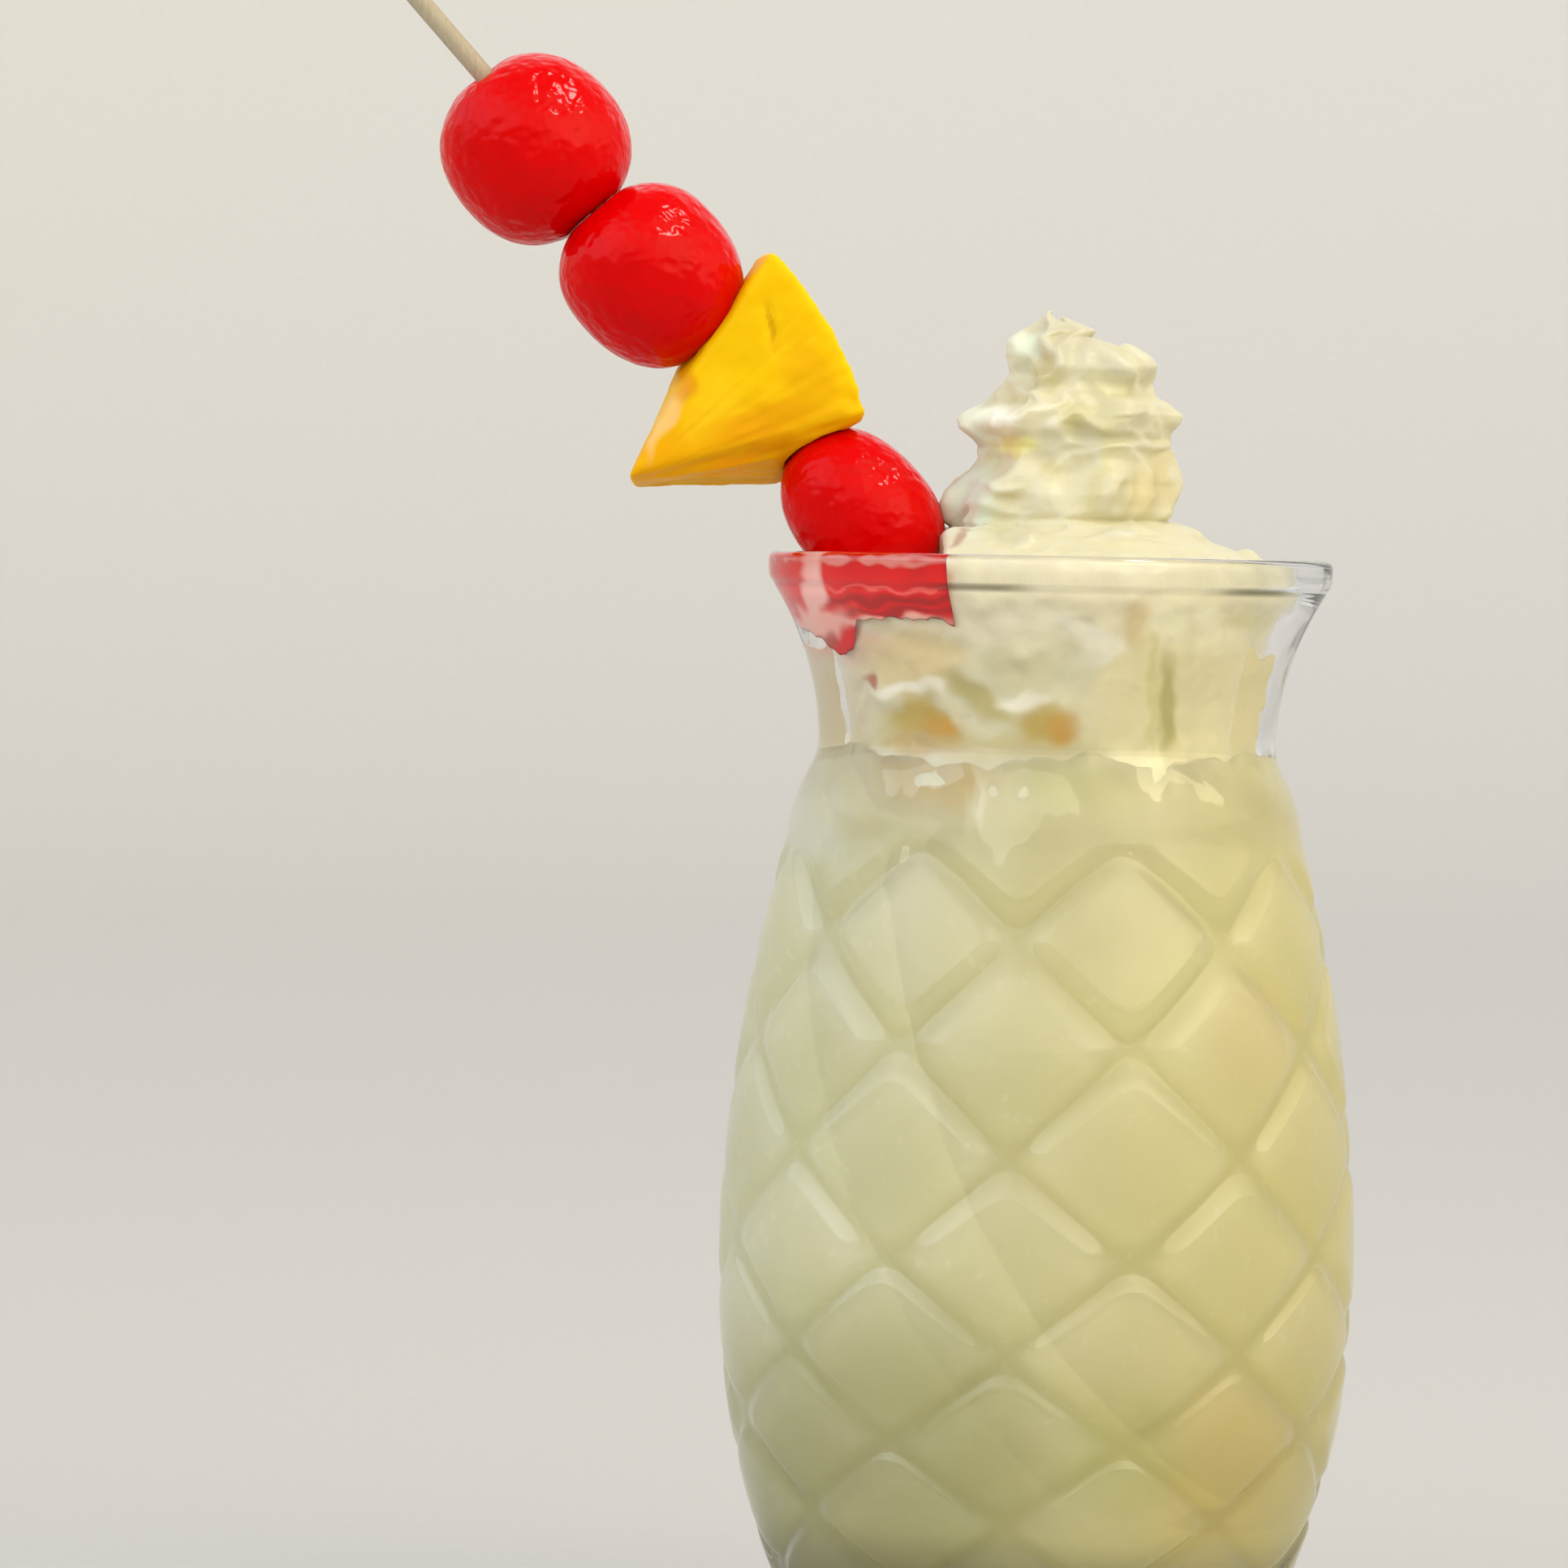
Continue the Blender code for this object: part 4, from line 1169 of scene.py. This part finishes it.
CREAM_RIGHT_BACK = [
    (4, 128, 5, 3.6, 20, "CFC79C", 0.8),
    (-9, 123, 3.2, 2.4, 0, "CDA750", 0.8),
    (12, 133, 3.6, 2, -20, "E6D2A6", 0.7),
    (0, 155, 2.6, 1.4, 0, "D6C684", 0.8),
    (4, 162.5, 2, 2.4, 20, "D4CC8E", 0.8),
]
CREAM_LEFT_BACK = [
    (-3, 126.5, 1.2, 6.4, 0, "CBBF72", 0.8),
    (8, 121.5, 2.8, 2, 0, "C9A24A", 0.85),
    (-10, 131, 4.4, 3.4, 0, "D3CCAE", 0.7),
    (2, 151, 2, 2.6, 0, "E2CE92", 0.7),
]
CREAM_STAINS_AND_PAINTED_LIGHT = {
    0: CREAM_FRONT,
    180: [(0, 116.5, 40, 5, 0, "DAD5AC", 0.8)],
    150: CREAM_RIGHT_BACK,
    235: CREAM_LEFT_BACK,
}
DRINK_FRONT = [
    # painted shade: the drink's top, lit through the collar, darkened
    (0, 111.5, 34, 6, 0, "BFB88C", 0.6),
    (6, 101, 14, 8, 0, "C8C294", 0.45),
    (-27.5, 109.5, 4, 5, 0, "DADCD4", 0.75),
    # painted shade: darker towards the bottom
    (-17, 30, 20, 20, 0, "A3A06C", 0.6),
    (-13, 115, 7.5, 3.6, 0, "CDB472", 0.8),
    (-8, 112, 1, 2.6, -20, "E6E2CC", 0.6),
    (4.1, 115, 8, 3.2, 0, "C8C58C", 0.6),
    (-29, 114.5, 3, 3, 0, "A8A596", 0.7),
    # painted shade: the drink's top edge and a bright spot at its right darkened
    (0, 118, 40, 1, 0, "C2BA92", 0.7),
    (13.5, 116.6, 6, 1.7, 0, "A8A07C", 0.75),
    # painted light: the drink lightened at its left
    (-23, 113, 4.5, 4.5, 0, "D8D0A8", 0.5),
    (24.8, 84.3, 5, 6.5, 0, "E0CE9C", 0.4),
    (22.5, 30.9, 8, 11, -20, "DEC882", 0.6),
    (11.2, 33.5, 6.5, 7, 0, "C0C07C", 0.45),
]
DRINK_BACK = [
    # painted shade at the top and towards the bottom, as on the front
    (0, 111.5, 34, 6, 0, "BDB78E", 0.6),
    (-12, 28, 20, 18, 0, "A8A470", 0.5),
    (0, 118, 40, 1, 0, "C2BA92", 0.7),
]
DRINK_STAINS_AND_PAINTED_LIGHT = {
    0: DRINK_FRONT,
    180: DRINK_BACK,
}
WEDGE_FRONT = [
    (-42, 155.6, 10, 1.8, 12, "F4B000", 0.6),
    # painted light: the underside, which lies in shade, lifted to a bright orange
    (-44.5, 152.2, 8, 1.7, 8, "FFB200", 0.85),
    (-36, 155.8, 4.5, 1.2, 15, "D88A00", 0.6),
    (-40.6, 153.8, 3, 1.2, 12, "FFA400", 0.7),
    (-42.4, 151.2, 2, 0.7, 0, "C88A10", 0.6),
    # painted highlight: the pale strip along the left edge
    (-48.7, 158.8, 1, 4.6, -23, "F2C67E", 0.85),
    # painted light: red bounced onto the wedge from the middle cherry
    (-46, 163.6, 1.5, 1.6, -23, "D98408", 0.6),
    # painted shade in the crease
    (-35.8, 171, 0.45, 3, 13, "D99B00", 0.7),
    (-43, 161, 3, 4, -30, "FFD21E", 0.4),
    (-30.5, 164, 3, 5, 25, "E8A600", 0.45),
    (-36.5, 159.2, 6, 1.9, 15, "E49A00", 0.6),
]
WEDGE_BACK = [
    (42, 154.8, 12, 2.4, -10, "EAA200", 0.75),
    (36, 166, 4, 6, 20, "EFB000", 0.4),
]
WEDGE_TINTS_AND_PAINTED_LIGHT = {
    0: WEDGE_FRONT,
    180: WEDGE_BACK,
}
SYRUP_FRONT = [
    (-18, 137.9, 10, 0.55, 0, "A00008", 0.7),
    (-18, 139.2, 9, 0.25, 0, "FF7068", 0.7),
    (-18, 136.5, 8, 0.35, 0, "96101A", 0.6),
    (-19, 135.5, 7, 0.5, 0, "FFC4B4", 0.9),
    (-14, 135, 1.4, 0.5, 30, "6A1A14", 0.8),
    # painted highlights: pale pink patches at the film's left end
    (-27.9, 138, 1.2, 4.4, 0, "FFC8BE", 0.95),
    (-25.8, 134.9, 2.8, 1.8, 15, "FFBCAE", 0.95),
    # deeper reds of the syrup itself
    (-27.4, 131.4, 1.6, 0.9, 20, "D8685C", 0.7),
    (-26, 132.7, 1, 1, 0, "B04030", 0.8),
    # painted highlight: a pale pink streak at the far left
    (-30.5, 134.6, 0.5, 2.2, -15, "F0BDB0", 0.6),
    (-23, 141.9, 12, 0.4, 0, "F8B8AC", 0.6),
]
SYRUP_TINTS_AND_PAINTED_LIGHT = {
    0: SYRUP_FRONT,
}
PATCH_SOFTNESS = 0.5


def mark_stains_and_painted_light(piece, stains_and_painted_light):
    """Tints a piece where other things show through it, and paints light and shade on it; the soft patches
    run a little uneven.
    """
    marks = piece.data.attributes.new("stain_and_painted_light", "FLOAT_COLOR", "POINT")
    patches = []
    for turn, rows in stains_and_painted_light.items():
        turn = math.radians(turn)
        side = Vector((math.cos(turn), math.sin(turn), 0.0))
        for across, height, wide, tall, tilt, code, most in rows:
            reach = (1.0 + PATCH_SOFTNESS) * max(wide, tall) + 1.5
            lean = math.cos(math.radians(tilt)), math.sin(math.radians(tilt))
            tint = Vector(paint(code)[:3])
            patches.append((side, across, height, wide, tall, lean, tint, most, reach))
    for mark, vertex in zip(marks.data, piece.data.vertices):
        place = vertex.co / MM
        shift = (1.1 * grain(place, 3.0, 1.0), 1.1 * grain(place, 3.0, 6.0))
        colour, strength = Vector((0.0, 0.0, 0.0)), 0.0
        for side, across, height, wide, tall, lean, tint, most, reach in patches:
            if abs(place.z - height) > reach:
                continue
            x = place.dot(side) - across + shift[0]
            z = place.z - height + shift[1]
            if abs(x) > reach or side.x * place.y - side.y * place.x > 0.0:
                continue
            far = math.hypot((x * lean[0] + z * lean[1]) / wide, (z * lean[0] - x * lean[1]) / tall)
            here = most * eased((1.0 + PATCH_SOFTNESS - far) / (2.0 * PATCH_SOFTNESS))
            if here > 0.0:
                whole = here + strength * (1.0 - here)
                colour = (tint * here + colour * strength * (1.0 - here)) / whole
                strength = whole
        mark.color = (*colour, strength)


def dress(piece, look, slot, *nodes):
    """Gives a finished piece its material, hangs it under the root and hides the solids that it stands for;
    its slot is not used.
    """
    piece.data.materials.clear()
    piece.data.materials.append(look)
    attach(piece, "root")
    if nodes:
        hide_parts(*nodes)


def hang_lamp():
    """A small soft key lamp overhead, warm white."""
    lamp = bpy.data.objects.new("key_above", bpy.data.lights.new("key_above", "AREA"))
    lamp.data.shape = "RECTANGLE"
    lamp.data.size, lamp.data.size_y = LAMP_SIZE
    lamp.data.energy = LAMP_POWER
    lamp.data.color = paint("FFF8EE")[:3]
    lamp.location = LAMP_PLACE
    lamp.visible_camera = False
    lamp.visible_transmission = False
    lamp.rotation_euler = (Vector(LAMP_AIM) - Vector(LAMP_PLACE)).to_track_quat("-Z", "Y").to_euler()
    bpy.context.scene.collection.objects.link(lamp)


def soft_room():
    """The room's light: an even dome with wide bright panels that fade into it, warmer to the right."""
    world = bpy.data.worlds.new("soft_room")
    world.use_nodes = True
    tree = world.node_tree
    way = add(tree, "TexCoord").outputs["Generated"]
    height = add(tree, "SeparateXYZ", {0: way}).outputs[2]
    level = add(tree, "MapRange", {0: height, 1: 0.0, 2: 0.9, 3: HORIZON_LIGHT, 4: ZENITH_LIGHT})
    total = add(tree, "VectorMath", {0: (1.0, 1.0, 1.0), "Scale": level.outputs[0]}, operation="SCALE")
    for aim, reach, strength, colour in ROOM_PANELS:
        near = add(tree, "VectorMath", {0: way, 1: Vector(aim).normalized()}, operation="DOT_PRODUCT")
        edge = {0: near.outputs["Value"], 1: math.cos(math.radians(reach)), 2: 1.0, 3: 0.0, 4: strength}
        fade = add(tree, "MapRange", edge, interpolation_type="SMOOTHSTEP")
        glow = {0: paint(colour)[:3], "Scale": fade.outputs[0]}
        panel = add(tree, "VectorMath", glow, operation="SCALE")
        total = add(tree, "VectorMath", {0: total.outputs[0], 1: panel.outputs[0]}, operation="ADD")
    feed(tree, tree.nodes["Background"], {"Color": total.outputs[0]})
    bpy.context.scene.world = world


def make_studio():
    """A wide pale floor, a small key lamp overhead, and the camera."""
    outline = [(0.0, 0.0), (0.4, 0.0), (1.0, 0.0), (FLAT_FLOOR, 0.0)]
    for degrees in range(6, 85, 6):
        angle = math.radians(degrees)
        outline.append((FLAT_FLOOR + COVE * math.sin(angle), COVE * (1.0 - math.cos(angle))))

    def place(across, along):
        radius, height = outline[round(along * (len(outline) - 1))]
        angle = across * math.tau
        return radius / MM * math.cos(angle), radius / MM * math.sin(angle), height / MM

    floor = bent_grid("studio_floor", 96, len(outline) - 1, place)
    close_up(floor, 1.0)
    floor.data.materials.append(studio_floor())
    soft_room()
    hang_lamp()
    bpy.context.scene.view_settings.view_transform = "Standard"

    camera = bpy.data.objects.new("camera", bpy.data.cameras.new("camera"))
    camera.data.sensor_width = 36.0
    camera.data.lens = CAMERA_LENS
    camera.data.clip_start = 0.01
    camera.location = CAMERA_PLACE
    aim = Vector(CAMERA_AIM) - camera.location
    turn = aim.to_track_quat("-Z", "Y").to_matrix()
    roll = Matrix.Rotation(CAMERA_ROLL, 3, "Z")
    camera.rotation_euler = (turn @ roll).to_euler()
    bpy.context.scene.collection.objects.link(camera)
    bpy.context.scene.camera = camera


def main():
    make_studio()
    dress(make_glass(), pressed_soda_glass(), "clear_glass", "glass")
    drink = make_drink()
    mark_stains_and_painted_light(drink, DRINK_STAINS_AND_PAINTED_LIGHT)
    dress(drink, blended_coconut_drink(), "creamy_drink", "drink")
    cream = make_cream()
    mark_hollows(cream)
    mark_stains_and_painted_light(cream, CREAM_STAINS_AND_PAINTED_LIGHT)
    dress(cream, whipped_cream(), "whipped_cream", "whipped_cream")
    syrup = make_syrup()
    mark_stains_and_painted_light(syrup, SYRUP_TINTS_AND_PAINTED_LIGHT)
    dress(syrup, cherry_syrup(), "cherry_flesh")
    flesh = candied_cherry()
    for name in CHERRIES:
        dress(make_cherry(name), flesh, "cherry_flesh", name)
    wedge = make_wedge()
    mark_stains_and_painted_light(wedge, WEDGE_TINTS_AND_PAINTED_LIGHT)
    dress(wedge, ripe_pineapple(), "pineapple_flesh", "pineapple_wedge")
    dress(make_skewer(), split_bamboo(), "bamboo", "skewer")


main()
